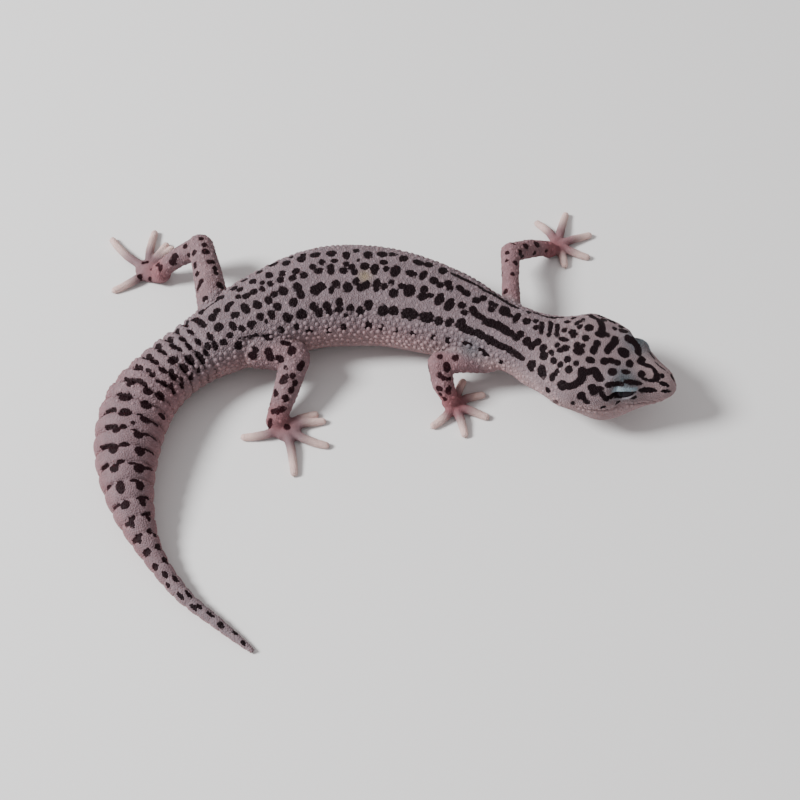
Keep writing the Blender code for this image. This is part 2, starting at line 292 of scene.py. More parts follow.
def toe_run(palm, toe):
    """A toe from its root in the palm over a raised knuckle to where its claw begins."""
    start, end = np.array(palm[:2]), np.array(toe[:2])
    ahead = (end - start) / np.linalg.norm(end - start)
    left = np.array((-ahead[1], ahead[0]))
    run = []
    for t, height, thick in TOE_SHAPE:
        x, y = start + (end - ahead * CLAW_LENGTH - start) * t + left * toe[2] * math.sin(math.pi * t)
        run.append((x, y, height, TOE_RADIUS * thick))
    return run


def palm_run(leg):
    """The palm from the wrist or ankle to the roots of the toes, before it is pressed flat."""
    x, y, half_width = leg["palm"]
    wrist_x, wrist_y, wrist_z, _ = leg["lower"][-1]
    ahead = np.array((x - wrist_x, y - wrist_y))
    front_x, front_y = np.array((x, y)) + ahead / np.linalg.norm(ahead) * half_width * 0.35
    return [
        (wrist_x, wrist_y, wrist_z * 0.65, half_width * 0.75),
        (x, y, 1.3, half_width),
        (front_x, front_y, 1.0, half_width * 0.9),
    ]


def run_distance(points, run, coat):
    """Distance of points from the surface round a run, and how far along the run each lies, from 0 to 1."""
    near, along = np.full(len(points), 1e3), np.zeros(len(points))
    rows = np.array(run, float)
    for k, (a, b) in enumerate(zip(rows, rows[1:])):
        axis = b[:3] - a[:3]
        t = np.clip((points - a[:3]) @ axis / (axis @ axis), 0, 1)
        gap = np.linalg.norm(points - a[:3] - t[:, None] * axis, axis=1) - (a[3] + (b[3] - a[3]) * t - coat)
        closer = gap < near
        near[closer] = gap[closer]
        along[closer] = (k + t[closer]) / (len(rows) - 1)
    return near, along


def melt(a, b, reach):
    """The nearer of two surfaces, rounded where they meet."""
    share = np.clip(0.5 + 0.5 * (b - a) / reach, 0, 1)
    return b * (1 - share) + a * share - reach * share * (1 - share)


def leg_surface(points, leg):
    """Distance of points from a whole leg's surface, and from its foot's alone."""
    upper, _ = run_distance(points, leg["upper"], LIMB_COAT)
    lower, _ = run_distance(points, leg["lower"], LIMB_COAT)
    pressed = points.copy()
    tall = pressed[:, 2] > PALM_TOP
    pressed[tall, 2] = PALM_TOP + (pressed[tall, 2] - PALM_TOP) / PALM_PRESS
    foot = run_distance(pressed, palm_run(leg), FOOT_COAT)[0] * 0.6
    for toe in leg["toes"]:
        foot = melt(foot, run_distance(points, toe_run(leg["palm"], toe), FOOT_COAT)[0], 0.5)
    return melt(melt(upper, lower, 0.8), foot, 1.3), foot


# ---------------------------------------------------------------- the skin's first shape
# One soft hide over the whole animal, so no seam shows. Lofts along the body, limbs and toes are fused into
# one even mesh, made finer on the head and feet, and drawn smoothly across shoulders, hips and toe roots.

MM = 0.001  # the animal is worked out in millimetres, and the scene is in metres
BODY_PITCH = 0.8
BODY_SIDES = 56
LIMB_SIDES = 20
TOE_SIDES = 12
FUSE_SIZE = 0.53
SHOULDER_MELT = 1.3
TIP_SPAN = (180, 196)  # along here the loft swells, to keep the tail's thin tip in the fused mesh
TIP_SWELL = 0.22
FLOOR_GAP = 0.05
FINE_HEAD = 28.5  # the finer mesh reaches back to here
FINE_FOOT = 18  # and this far from each wrist or ankle
SLOPE_STEP = 0.05


def ring_loft(shape, rings):
    """Adds a closed skin through rings of points to a bmesh."""
    loops = []
    for ring in rings:
        verts = bmesh.ops.create_circle(shape, segments=len(ring), radius=MM)["verts"]
        for vert, place in zip(verts, ring):
            vert.co = place
        loops.append(list(dict.fromkeys(edge for vert in verts for edge in vert.link_edges)))
    for near, far in zip(loops, loops[1:]):
        bmesh.ops.bridge_loops(shape, edges=near + far)
    for end in (loops[0], loops[-1]):
        bmesh.ops.edgeloop_fill(shape, edges=end)


def run_rings(run, sides, coat, pressed=False):
    """Rings round a run, with rounded ends."""
    rows = np.array(run, float)
    rings = []
    for k, row in enumerate(rows):
        ahead = rows[min(k + 1, len(rows) - 1), :3] - rows[max(k - 1, 0), :3]
        ahead /= np.linalg.norm(ahead)
        side = np.cross(ahead, (0, 0, 1))
        side /= np.linalg.norm(side)
        over = np.cross(side, ahead)
        bends = (-80, -55, -28, 0) if k == 0 else (0, 28, 55, 80) if k == len(rows) - 1 else (0,)
        for bend in np.radians(bends):
            radius = row[3] - coat
            turns = np.arange(sides) * math.tau / sides
            ring = row[:3] + ahead * radius * math.sin(bend) + radius * math.cos(bend) * (
                np.outer(np.sin(turns), side) + np.outer(np.cos(turns), over)
            )
            if pressed:
                high = ring[:, 2] > PALM_TOP
                ring[high, 2] = PALM_TOP + (ring[high, 2] - PALM_TOP) * PALM_PRESS
            rings.append(ring * MM)
    return rings


bm = bmesh.new()
stations = np.append(np.arange(0.0, TAIL_END, BODY_PITCH), TAIL_END)
turns = np.arange(BODY_SIDES) * 360 / BODY_SIDES
body_rings = []
for at in stations:
    ring = body_point(np.full(BODY_SIDES, at), turns, np.interp(at, TIP_SPAN, (-COAT_DEPTH, TIP_SWELL)))
    ring[:, 2] = np.maximum(ring[:, 2], FLOOR_GAP)
    body_rings.append(ring * MM)
ring_loft(bm, body_rings)
for leg in LEGS.values():
    ring_loft(bm, run_rings(leg["upper"], LIMB_SIDES, LIMB_COAT))
    ring_loft(bm, run_rings(leg["lower"], LIMB_SIDES, LIMB_COAT))
    ring_loft(bm, run_rings(palm_run(leg), LIMB_SIDES, FOOT_COAT, pressed=True))
    for toe in leg["toes"]:
        ring_loft(bm, run_rings(toe_run(leg["palm"], toe), TOE_SIDES, FOOT_COAT))
bmesh.ops.recalc_face_normals(bm, faces=bm.faces)
skin = placed("skin", as_mesh(bm, "skin"))
fuse = skin.modifiers.new("fuse", "REMESH")
fuse.mode = "VOXEL"
fuse.voxel_size = FUSE_SIZE * MM
fused = bpy.data.meshes.new_from_object(skin.evaluated_get(bpy.context.evaluated_depsgraph_get()))
skin.modifiers.clear()
skin.data = fused


def mesh_points(mesh):
    """A mesh's points in millimetres."""
    flat = np.empty(len(mesh.vertices) * 3)
    mesh.vertices.foreach_get("co", flat)
    return flat.reshape(-1, 3) / MM


def bmesh_points(bm):
    """A bmesh's points in millimetres."""
    return np.array([vert.co for vert in bm.verts]) / MM


def split_edges(bm, chosen):
    """Halves the edges of a bmesh that join two chosen points."""
    bm.verts.ensure_lookup_table()
    cut = [edge for edge in bm.edges if chosen[edge.verts[0].index] and chosen[edge.verts[1].index]]
    bmesh.ops.subdivide_edges(bm, edges=cut, cuts=1, use_grid_fill=True)
    bm.verts.index_update()


def settle(bm, points):
    """Moves a bmesh's points to places, none under the floor, and makes it the skin's mesh."""
    points[:, 2] = np.maximum(points[:, 2], FLOOR_GAP)
    for vert, place in zip(bm.verts, points * MM):
        vert.co = place
    bm.to_mesh(fused)
    bm.free()


def meeting(points, leg):
    """Distance of points from the surface of the body and a leg, rounded where they meet."""
    return melt(body_place(points)[2], leg_surface(points, leg)[0], SHOULDER_MELT)


bm = bmesh.new()
bm.from_mesh(fused)
bmesh.ops.smooth_vert(bm, verts=bm.verts, factor=0.5, use_axis_x=True, use_axis_y=True, use_axis_z=True)
points = bmesh_points(bm)
fine = body_place(points)[0] < FINE_HEAD
for leg in LEGS.values():
    from_wrist = np.linalg.norm(points - np.array(leg["lower"][-1][:3]), axis=1)
    fine |= (from_wrist < FINE_FOOT) & (leg_surface(points, leg)[1] < 0.8)
split_edges(bm, fine)
points = bmesh_points(bm)
for leg in LEGS.values():
    near = np.flatnonzero(leg_surface(points, leg)[0] < 2.6)
    for _ in range(4):
        here = points[near]
        gap = meeting(here, leg)
        steps = np.eye(3) * SLOPE_STEP
        slope = np.column_stack([(meeting(here + step, leg) - gap) / SLOPE_STEP for step in steps])
        slope /= np.maximum((slope**2).sum(1, keepdims=True), 0.2)
        points[near] = here - np.clip(gap, -0.5, 0.5)[:, None] * slope
settle(bm, points)


# ---------------------------------------------------------------- the skin's relief
# The soft forms that the hide takes over the animal: brows and cheeks, nostrils, ears and the line of the
# mouth on the head, a crease before each thigh, the eyelids, and the pleated rings of the fat tail.

EYE_AT = (10.3, 4.5, 12.75)  # distance from the snout tip, sideways, height
EYE_RADIUS = 3.0
EYE_TILT = math.radians(21)  # how far the eyes look up
EYE_TURN = math.radians(13)  # how far the slit rises to the snout
OPENING_LENGTH = 3.15  # half of it
OPENING_TOP = 0.78
OPENING_DROP = 1.2
OPENING_SHIFT = 0.45  # how far its corners lie below the middle of the eye
LID_THICKNESS = 0.3
SOCKET_DEPTH = 0.75
NOSTRILS = (1.9, 50)  # distance from the snout tip, degrees round
EARS = (22.4, 97)
MOUTH_HEIGHT = 9.5
MOUTH_CORNER = 18.5
HEAD_FORMS = [
    (0.38, 11.5, 4.2, 33, 13),  # brows
    (-0.3, 8.5, 4.5, 0, 15),  # the hollow between them
    (0.25, 17.5, 4, 30, 22),  # back of the crown
    (0.35, 20.5, 3.6, 70, 16),  # jaw muscles
    (-0.22, 5.2, 1.6, 52, 14),  # in front of the eyes
]  # height, distance from the snout tip and its spread, degrees round and their spread
BROW_BACK = (0.6, 12.3, 1.7, 40, 15)  # the same numbers, for a round form behind each brow
WHORLS = np.array([
    109.6, 112, 114.4, 116.8, 119.5, 122.4, 125.3, 128.7, 132.3, 136, 139.7, 143.5, 147.3, 151.2, 155.2,
    159.1, 162.8, 166.5, 170, 173.4, 176.7, 179.9, 182.9, 185.8, 188.5, 191, 193.4, 195.8,
])  # where the tail's rings begin


def hump(gap, reach):
    """A soft hump, 1 in the middle and nothing far outside its reach."""
    return np.exp(-((gap / reach) ** 2))


def ease(value, start, end):
    """Rises smoothly from 0 at the start to 1 at the end."""
    t = np.clip((value - start) / (end - start), 0, 1)
    return t * t * (3 - 2 * t)


def waves(points, size, seed=0.0):
    """Smooth random values from about -1 to 1, changing over a size in millimetres."""
    return np.array([noise.noise(Vector(point) / size + Vector((seed, 0, 0))) for point in points])


def mouth_line(at):
    """Height of the mouth's line at distances from the snout tip."""
    return MOUTH_HEIGHT + 0.8 * ease(at, 2, 9) + 0.3 * ease(at, 12, MOUTH_CORNER) - 0.25 * hump(at - 12, 3)


def head_relief(points, at, degrees):
    """How far the head's forms stand out or sink in, beside the eyes."""
    side = np.abs(degrees)
    lift = np.zeros(len(points))
    for tall, place, reach, turn, spread in HEAD_FORMS:
        lift += tall * hump(at - place, reach) * hump(side - turn, spread)
    above = points[:, 2] - mouth_line(at)
    lips = 1 - ease(at, MOUTH_CORNER - 1.0, MOUTH_CORNER + 0.6)
    mouth = 0.16 * hump(above - 0.75, 0.5) + 0.12 * hump(above + 0.75, 0.5) - 0.34 * hump(above, 0.2)
    lift += lips * mouth  # full lips beside the mouth's groove
    for turn in (-1, 1):
        nostril = body_point(NOSTRILS[0], turn * NOSTRILS[1])[0]
        gap = np.linalg.norm(points - nostril, axis=1)
        lift += 0.14 * hump(gap - 0.62, 0.28) - 0.55 * (1 - ease(gap, 0.2, 0.5))
        ear = body_point(EARS[0], turn * EARS[1])[0]
        gap = np.hypot((at - EARS[0]) / 0.62, (points[:, 2] - ear[2]) / 1.15)
        gap += 5 * (np.linalg.norm(points - ear, axis=1) > 3)
        lift += 0.12 * hump(gap - 1.3, 0.3) - 1.0 * (1 - ease(gap, 0.7, 1.15))
    return lift


def tail_relief(at, degrees):
    """The tail's rings: each swells behind a narrow pleat."""
    k = np.clip(np.searchsorted(WHORLS, at, side="right") - 1, 0, len(WHORLS) - 2)
    u = (at - WHORLS[k]) / (WHORLS[k + 1] - WHORLS[k])
    size = through(PROFILE, at)[:, 1] / 7.5 * ease(at, 108, 114)
    swell = 0.75 * np.sqrt(np.clip(4 * u * (1 - u), 0, 1)) * (0.8 + 0.4 * (1 - u)) - 0.6
    pleat = 0.5 * (hump(u, 0.11) + hump(1 - u, 0.08))
    deep = 0.8 + 0.2 * ease(np.abs(degrees), 5, 60)
    return size * (swell - pleat) * deep


def eye_frame(turn):
    """Centre of an eye, and the ways out of it, along it to the snout, and up; turn is 1 on the right."""
    centre, forward, right = (row[0] for row in body_frame(np.array([EYE_AT[0]])))
    outward = right * turn
    middle = np.array((centre[0], centre[1], EYE_AT[2])) + outward * EYE_AT[1]
    up = np.array((0.0, 0.0, 1.0))
    out = outward * math.cos(EYE_TILT) + up * math.sin(EYE_TILT)
    up = up * math.cos(EYE_TILT) - outward * math.sin(EYE_TILT)
    along = forward * math.cos(EYE_TURN) + up * math.sin(EYE_TURN)
    return middle, out, along, up * math.cos(EYE_TURN) - forward * math.sin(EYE_TURN)


def eye_opening(offset, along, up):
    """How far places lie inside the slit between the lids, negative outside, in millimetres."""
    x, y = offset @ along, offset @ up + OPENING_SHIFT
    bow = np.clip(1 - np.abs(x / OPENING_LENGTH) ** 2.6, -0.6, 1)
    sag = np.clip(1 - np.abs((x + 0.4 * bow) / OPENING_LENGTH) ** 2.2, -0.6, 1)
    return np.minimum(OPENING_TOP * bow - y, y + OPENING_DROP * sag)


def wrap_lids(points, turn):
    """Moves the skin round an eye on to two thick lids, with the slit between them open to the eyeball."""
    middle, out, along, up = eye_frame(turn)
    offset = points - middle
    reach = np.linalg.norm(offset, axis=1)
    near = np.flatnonzero((reach < 6.5) & (offset @ out > -2.0))
    offset, reach = offset[near], reach[near]
    angle = np.degrees(np.arccos(np.clip(offset @ out / reach, -1, 1)))
    held = (1 - ease(angle, 44, 76)) * (1 - ease(reach, 4.2, 5.6))
    inside = eye_opening(offset, along, up)
    rise = offset @ up
    held *= np.where(reach > EYE_RADIUS + LID_THICKNESS, 1 - ease(angle, 30, 60) * ease(rise, 0.6, 2.0), 1)
    lid = EYE_RADIUS + LID_THICKNESS + 0.16 * hump(inside + 0.3, 0.2)
    lid -= 0.2 * hump(rise - 2.1, 0.22) * (1 - ease(np.abs(offset @ along), 1.8, 3.0))
    lid -= 0.14 * hump(rise + 1.95, 0.25) * (1 - ease(np.abs(offset @ along), 1.6, 2.8))
    goal = reach + (lid - reach) * held
    goal = -melt(-goal, np.full(len(goal), -EYE_RADIUS - 0.18), 0.4)
    deep = ease(inside, -0.06, 0.1) * (offset @ out > 0) * (1 - ease(np.abs(offset @ along), 2.6, 3.05))
    goal += (EYE_RADIUS - SOCKET_DEPTH - goal) * deep
    points[near] = middle + offset * (goal / reach)[:, None]


bm = bmesh.new()
bm.from_mesh(fused)
points = bmesh_points(bm)
close = np.zeros(len(points), bool)
for turn in (-1, 1):
    middle, out, _, _ = eye_frame(turn)
    offset = points - middle
    close |= (np.linalg.norm(offset, axis=1) < 4.6) & (offset @ out > 0.6)
split_edges(bm, close)
bm.normal_update()
points = bmesh_points(bm)
normals = np.array([vert.normal for vert in bm.verts])
at, degrees, height = body_place(points)
on_body = 1 - ease(height, 0.5, 1.6)
lift = 0.10 * waves(points, 4.5) + 0.05 * waves(points, 1.8, 7.0)
head = np.flatnonzero(at < 27)
lift[head] *= 0.5
lift[head] += head_relief(points[head], at[head], degrees[head])
tall, place, reach, turn, spread = BROW_BACK
lift[head] += tall * hump(np.hypot((at[head] - place) / reach, (np.abs(degrees[head]) - turn) / spread), 1)
tail = np.flatnonzero(at > 107)
lift[tail] = (tail_relief(at[tail], degrees[tail]) + 0.3 * lift[tail]) * (height[tail] < 1.5)
for name in ("hind_left", "hind_right"):
    off = height - leg_surface(points, LEGS[name])[0]
    lift -= 0.45 * hump(off + 0.2, 0.45) * (1 - ease(height, 0.5, 1.3)) * ease(points[:, 2], 6, 9)
points += normals * (lift * np.where(height > 1.2, 0.5, on_body))[:, None]
for turn in (-1, 1):
    wrap_lids(points, turn)
settle(bm, points)


# ---------------------------------------------------------------- the markings
# Near-black spots in rows down the back, rings and bars on the head, bands over the tail's pleats, and small
# reddish spots on the legs. A spot is its distance from the snout tip, its degrees round from the midline of
# the back, half its length in millimetres and half its width in degrees.

HEAD_SPOTS = [
    (26.5, -31, 0.7, 5), (25.8, -43, 0.45, 5), (26, -12, 0.6, 4), (23.2, -35, 0.45, 6), (24, -28, 0.6, 5),
    (23, -20, 0.45, 4), (21, -20.5, 1, 5.5), (24.2, -11, 0.75, 4), (23.4, -6.5, 0.7, 4),
    (20.8, -5.5, 0.75, 3.5), (25.2, 1, 1, 2.4), (18.1, -3.5, 0.7, 3.6), (18.3, 4, 0.75, 4.4),
    (25.9, 10, 0.5, 3.6), (24.8, 16, 0.6, 3.2), (24, 11, 0.75, 4), (22, 4, 0.6, 3.2), (21.2, 10, 1.1, 4.6),
    (20.8, 3, 0.4, 2), (18.3, 16.5, 0.95, 3.6), (22.7, 24, 0.65, 4.2), (20.8, 25, 0.5, 3.2),
    (26.3, 22.5, 0.5, 3.6), (25.2, 32, 0.6, 4.2), (23.7, 33.5, 0.5, 4), (21.8, 35.5, 0.7, 4.6),
    (23.8, 45, 0.45, 5), (24.3, 55, 0.5, 6), (26.5, 57, 1, 9), (29.1, 58, 1, 10), (22, 59, 0.85, 7),
    (19.2, 32, 0.75, 5), (16.8, 28, 0.8, 4), (16.3, 53, 0.85, 5), (15.7, 59, 0.85, 7), (14.7, 54, 0.7, 4.5),
    (18, 69, 0.75, 7), (24.4, 80, 0.45, 5), (19.3, 85.5, 0.35, 4), (13.1, 89, 0.5, 2), (10.4, 89, 0.3, 2),
    (15.5, 13, 0.8, 4.6), (14.2, 10, 0.75, 3.6), (12.9, 10, 0.7, 3.6), (15.6, 0, 0.6, 3.2),
    (14.8, -15, 0.85, 6), (12.3, -6, 1.25, 6), (10.4, 5, 0.8, 5.6), (10.6, 20, 0.85, 3.6),
    (13.2, 24.5, 0.95, 5), (18.2, -15, 1.1, 3.8), (16.8, -18, 0.6, 3), (18.6, -48, 0.6, 6),
    (14.6, -52, 0.6, 8), (15.7, -35, 0.5, 4.2), (13.8, -36, 1.05, 5), (11.3, -49, 0.4, 4),
    (7.4, 16, 0.75, 8), (3.3, 0, 0.45, 7), (5.2, 54, 1.75, 9), (1.5, 52, 0.95, 9), (7.7, 75, 0.55, 7),
    (2.4, 24, 1.05, 8), (1.2, -32, 0.6, 12), (19.6, -62, 0.8, 6), (17, -58, 1, 6), (11.2, -45, 0.7, 4),
]
NECK_SPOTS = [
    (40, -14, 1.2, 10), (38.5, -9, 0.7, 4), (36.9, -11, 0.65, 11), (34.6, -11, 0.8, 7.5),
    (32.9, -17, 0.45, 5), (32.1, -5, 0.55, 4.3), (34.3, 14, 0.85, 6), (34.9, 22.5, 0.85, 6),
    (32.4, 22, 0.8, 8.5), (30.1, 16, 0.75, 6), (30.9, 27, 0.75, 6), (30.5, 21, 0.6, 5), (28.3, 22, 0.8, 6),
    (27.5, 32, 0.8, 7), (35.4, -37, 0.6, 4),
]
FAR_ROW = [
    (107.9, -38, 0.65, 8), (102.7, -38, 0.85, 7.5), (99.3, -38.5, 0.9, 6), (98.5, -26, 0.7, 5),
    (95.3, -28.5, 0.75, 6), (92.8, -47, 0.75, 7), (91.6, -24, 0.8, 6), (89.5, -48, 0.85, 7),
    (87.2, -33.5, 0.8, 6), (85.7, -47, 0.4, 7), (84.3, -30, 0.8, 7), (83.5, -39, 0.5, 5),
    (81.6, -31, 0.9, 6), (78.6, -28.5, 0.95, 6.5), (75.8, -22, 0.7, 7), (74, -32, 0.55, 4.5),
    (71.6, -24.6, 0.8, 7.5), (68.9, -29, 0.95, 6.8), (67, -33, 0.65, 4.6), (64.8, -28.6, 0.8, 8),
    (61.8, -29, 1.1, 6), (59.8, -32, 0.95, 6.4), (56.5, -32, 0.95, 9),
]
FAR_DORSAL_ROW = [
    (107, -9, 0.85, 7), (105.3, -14, 0.8, 6), (102.3, -11, 1.05, 4), (103.4, -6, 0.6, 3.5),
    (99.8, -15, 0.55, 4), (98.3, -8.6, 0.85, 4.3), (96.4, -9.3, 0.85, 4.3), (94.5, -7, 0.55, 4.3),
    (93.8, -16.5, 0.55, 3.4), (92.4, -9.3, 0.7, 4), (90.1, -8.6, 0.7, 4.3), (89, -16.5, 0.7, 4.8),
    (87.6, -4.7, 0.75, 3.2), (86.3, -12, 0.8, 4), (85.2, -3.6, 0.85, 3.6), (82.8, -10.7, 0.65, 4),
    (81.8, -4, 0.9, 3.2), (80.7, -14, 0.6, 3.8), (79.2, -6, 0.7, 3.6), (79.2, -1, 0.7, 3.2),
    (78.2, -14, 0.7, 3), (75.9, -8.6, 0.6, 2.9), (76.5, -1, 0.8, 3.2), (74.7, -4.5, 0.65, 3.2),
    (74.1, 1, 0.65, 3), (73.4, -13.6, 0.3, 2), (72, -5.7, 0.9, 4.3), (69.8, -3.6, 0.8, 6),
    (68.2, -14, 0.75, 3.7), (67.4, -5.7, 0.6, 2.9), (65.4, -5.5, 1, 7), (62, -7, 1.15, 4.3),
    (59.6, -10, 0.7, 7.5), (57, -8, 0.95, 5), (55.3, -5, 0.75, 3.6), (53.9, -12, 0.75, 5.7),
    (53.2, -6.5, 0.8, 4), (51.3, -13, 0.9, 4.6), (49.5, -11, 1, 4.6), (46.7, -8.6, 0.9, 4.6),
    (45.7, -18.6, 0.8, 6), (43.5, -17, 0.6, 5), (42.4, -16, 0.6, 5), (42.7, -6, 0.75, 4.6),
]
NEAR_DORSAL_ROW = [
    (109.7, 16, 0.65, 8.6), (107.1, 10, 1, 6.8), (104.4, 20, 0.7, 8), (102.8, 7, 0.9, 5),
    (100, 6.4, 0.9, 7.5), (97.3, 9.3, 0.95, 6), (94.6, 9.3, 0.8, 5.4), (92.8, 5, 0.8, 3.6),
    (90.7, 5.7, 0.95, 5.7), (87.5, 7, 0.85, 5.5), (87.5, 17, 0.85, 5.5), (83.9, 17, 1.2, 6),
    (82.2, 14, 1.1, 5), (78.5, 13.6, 1, 4.4), (79.8, 20.7, 0.7, 4), (75.7, 18.6, 1.1, 5.7),
    (73.7, 12, 0.75, 4), (72.5, 19, 0.95, 4.6), (71.2, 15.7, 0.9, 4.6), (68.7, 15, 0.9, 7.8),
    (66.8, 15.5, 0.8, 4), (65.4, 9, 0.65, 2.9), (64.2, 21.4, 1.05, 5.8), (62.9, 10, 0.8, 3.6),
    (60.9, 13.6, 1.25, 7.8), (58, 6.4, 0.8, 4.6), (57.7, 15.7, 0.85, 5.4), (56.3, 11.4, 0.8, 3),
    (53.9, 12, 1.05, 8.5), (51.2, 13.6, 1.05, 9.3), (48.7, 6.7, 0.85, 4.8), (47.3, 15, 0.7, 4),
]
HIP_ROW = [
    (111.3, 30, 0.5, 6), (109.8, 34, 0.6, 8.5), (107.9, 36, 0.75, 6.4), (106, 31, 0.65, 5),
    (103, 31, 0.7, 5.4), (100.7, 31, 1, 5.4), (98, 25.7, 0.85, 5), (97.3, 36, 0.4, 4),
    (95.5, 29.7, 0.85, 6.4), (93.4, 21.7, 0.8, 5.4), (89.8, 23.6, 0.95, 5.4), (105.3, 54.5, 1, 8),
    (98.3, 61, 1, 5.5),
]
NEAR_ROW = [
    (92.4, 40.3, 0.9, 7), (89.1, 41.7, 1.3, 6.4), (85.5, 36.4, 1.05, 6), (84.6, 46, 1.1, 5.6),
    (81.8, 38.6, 1.25, 5.7), (81.3, 47, 1.1, 4.6), (78, 36.4, 1, 5.9), (78.5, 45.7, 1.1, 4),
    (75.1, 44.3, 1, 4.8), (76.4, 53, 0.75, 2.6), (72.3, 48.6, 1.1, 6.8), (70.2, 40, 1.1, 6.6),
    (65.8, 45.7, 1.5, 7.5), (63, 43.6, 1.2, 6), (59, 42.4, 1.9, 7.5), (54.9, 41.4, 1.95, 7.5),
    (51.7, 40.7, 1.1, 6.4), (49.2, 37, 0.9, 6.8), (46.8, 33, 0.9, 9), (26.7, 54, 0.85, 8.6),
]
FLANK_ROW = [
    (94.7, 55, 0.75, 5.7), (91.1, 57, 0.6, 5.7), (88.3, 68.6, 0.9, 5), (82.7, 74, 1.1, 5.7),
    (77.3, 70, 0.8, 5.4), (69.8, 69, 1.1, 6.4), (65.5, 70, 0.9, 5), (61.4, 72, 0.6, 4.6),
    (57, 70.7, 0.75, 4.3), (51.6, 69, 0.7, 5), (47.9, 67, 0.6, 6), (44.1, 62.5, 1.1, 4),
    (36.3, 81, 0.55, 5.4),
]
TAIL_SPOTS = [
    (112.2, -38, 0.5, 8), (111.3, -44, 0.4, 6), (112.5, -11, 0.6, 8), (112.5, 13, 0.65, 8),
    (112.4, 38, 0.6, 7), (111.2, 28, 0.6, 6), (114.2, -43, 0.6, 12), (114.8, -9, 0.6, 8),
    (114.8, 10, 0.6, 8), (114.2, 36, 0.6, 9), (113.9, 49, 0.55, 6), (116.7, -30, 0.7, 12),
    (117.3, -7, 0.7, 9), (116.9, 4, 0.5, 6), (116.8, 34, 0.95, 13), (119.2, -35, 0.7, 11),
    (119.8, -13, 0.55, 11), (119.8, 15, 1.2, 9), (119.1, 40, 0.8, 11), (122.4, -28, 0.85, 12),
    (122.6, -7, 0.6, 10), (123.1, 16, 0.7, 8), (122.4, 38, 0.95, 9), (121.9, 28, 0.5, 5),
    (125.5, -23, 0.8, 8), (125.2, -34, 0.4, 6), (125, -2, 0.4, 8), (125.5, 9, 0.7, 5), (126, 26, 0.6, 6),
    (125.5, 36, 0.7, 8), (129.5, -13, 0.85, 7), (129.8, 20, 1.05, 8), (129.1, 43, 1.25, 11),
    (132.8, -10, 1.05, 12), (132.1, -25, 0.3, 8), (133.3, 27, 1.2, 10), (133.9, 63, 0.6, 10),
    (136.2, -51, 0.5, 7), (136.3, -3, 0.95, 12), (137, 33, 0.9, 9), (136, 24, 0.35, 6),
    (140.2, -13, 0.8, 7), (139.5, -2, 0.5, 6), (138.5, 14, 0.35, 4), (141.2, 27, 0.8, 9), (140, 20, 0.4, 6),
    (140.5, 40, 0.5, 6), (144.3, -17, 1.1, 9), (143.6, 3, 0.6, 10), (144.9, 33, 1.15, 10),
    (148.3, -20, 0.95, 10), (147.2, -6, 0.45, 9), (148.9, 33, 1.2, 12), (147.8, 19, 0.45, 10),
    (152.5, -16, 1.5, 11), (151.3, -52, 0.5, 12), (153, 32, 1.05, 10), (151.6, 20, 0.5, 11),
    (156.2, -18, 0.95, 14), (156.6, 32, 1, 9), (155.6, 22, 0.4, 7), (159.9, -22, 1.2, 9),
    (159.2, -10, 0.5, 8), (159.9, 40, 0.9, 8), (159.2, 26, 0.35, 7), (163.4, -27, 1.1, 10),
    (162.9, -12, 0.45, 7), (162.8, 30, 0.6, 12), (163.8, 47, 0.5, 9), (166.6, -30, 0.8, 26),
    (166.6, 40, 0.75, 18), (170, -38, 0.8, 23), (169.8, 42, 0.9, 20), (172.6, -14, 0.85, 19),
    (174.5, -45, 0.7, 16), (174.5, 22, 1, 18), (178, -30, 0.95, 18), (178.8, 25, 1.15, 18),
    (181.5, -35, 1.05, 18), (182.4, 0, 0.8, 20), (185.2, 8, 1, 18), (188.3, -12, 1, 34),
    (191.8, 32, 0.8, 25), (194.6, -5, 0.7, 42),
]
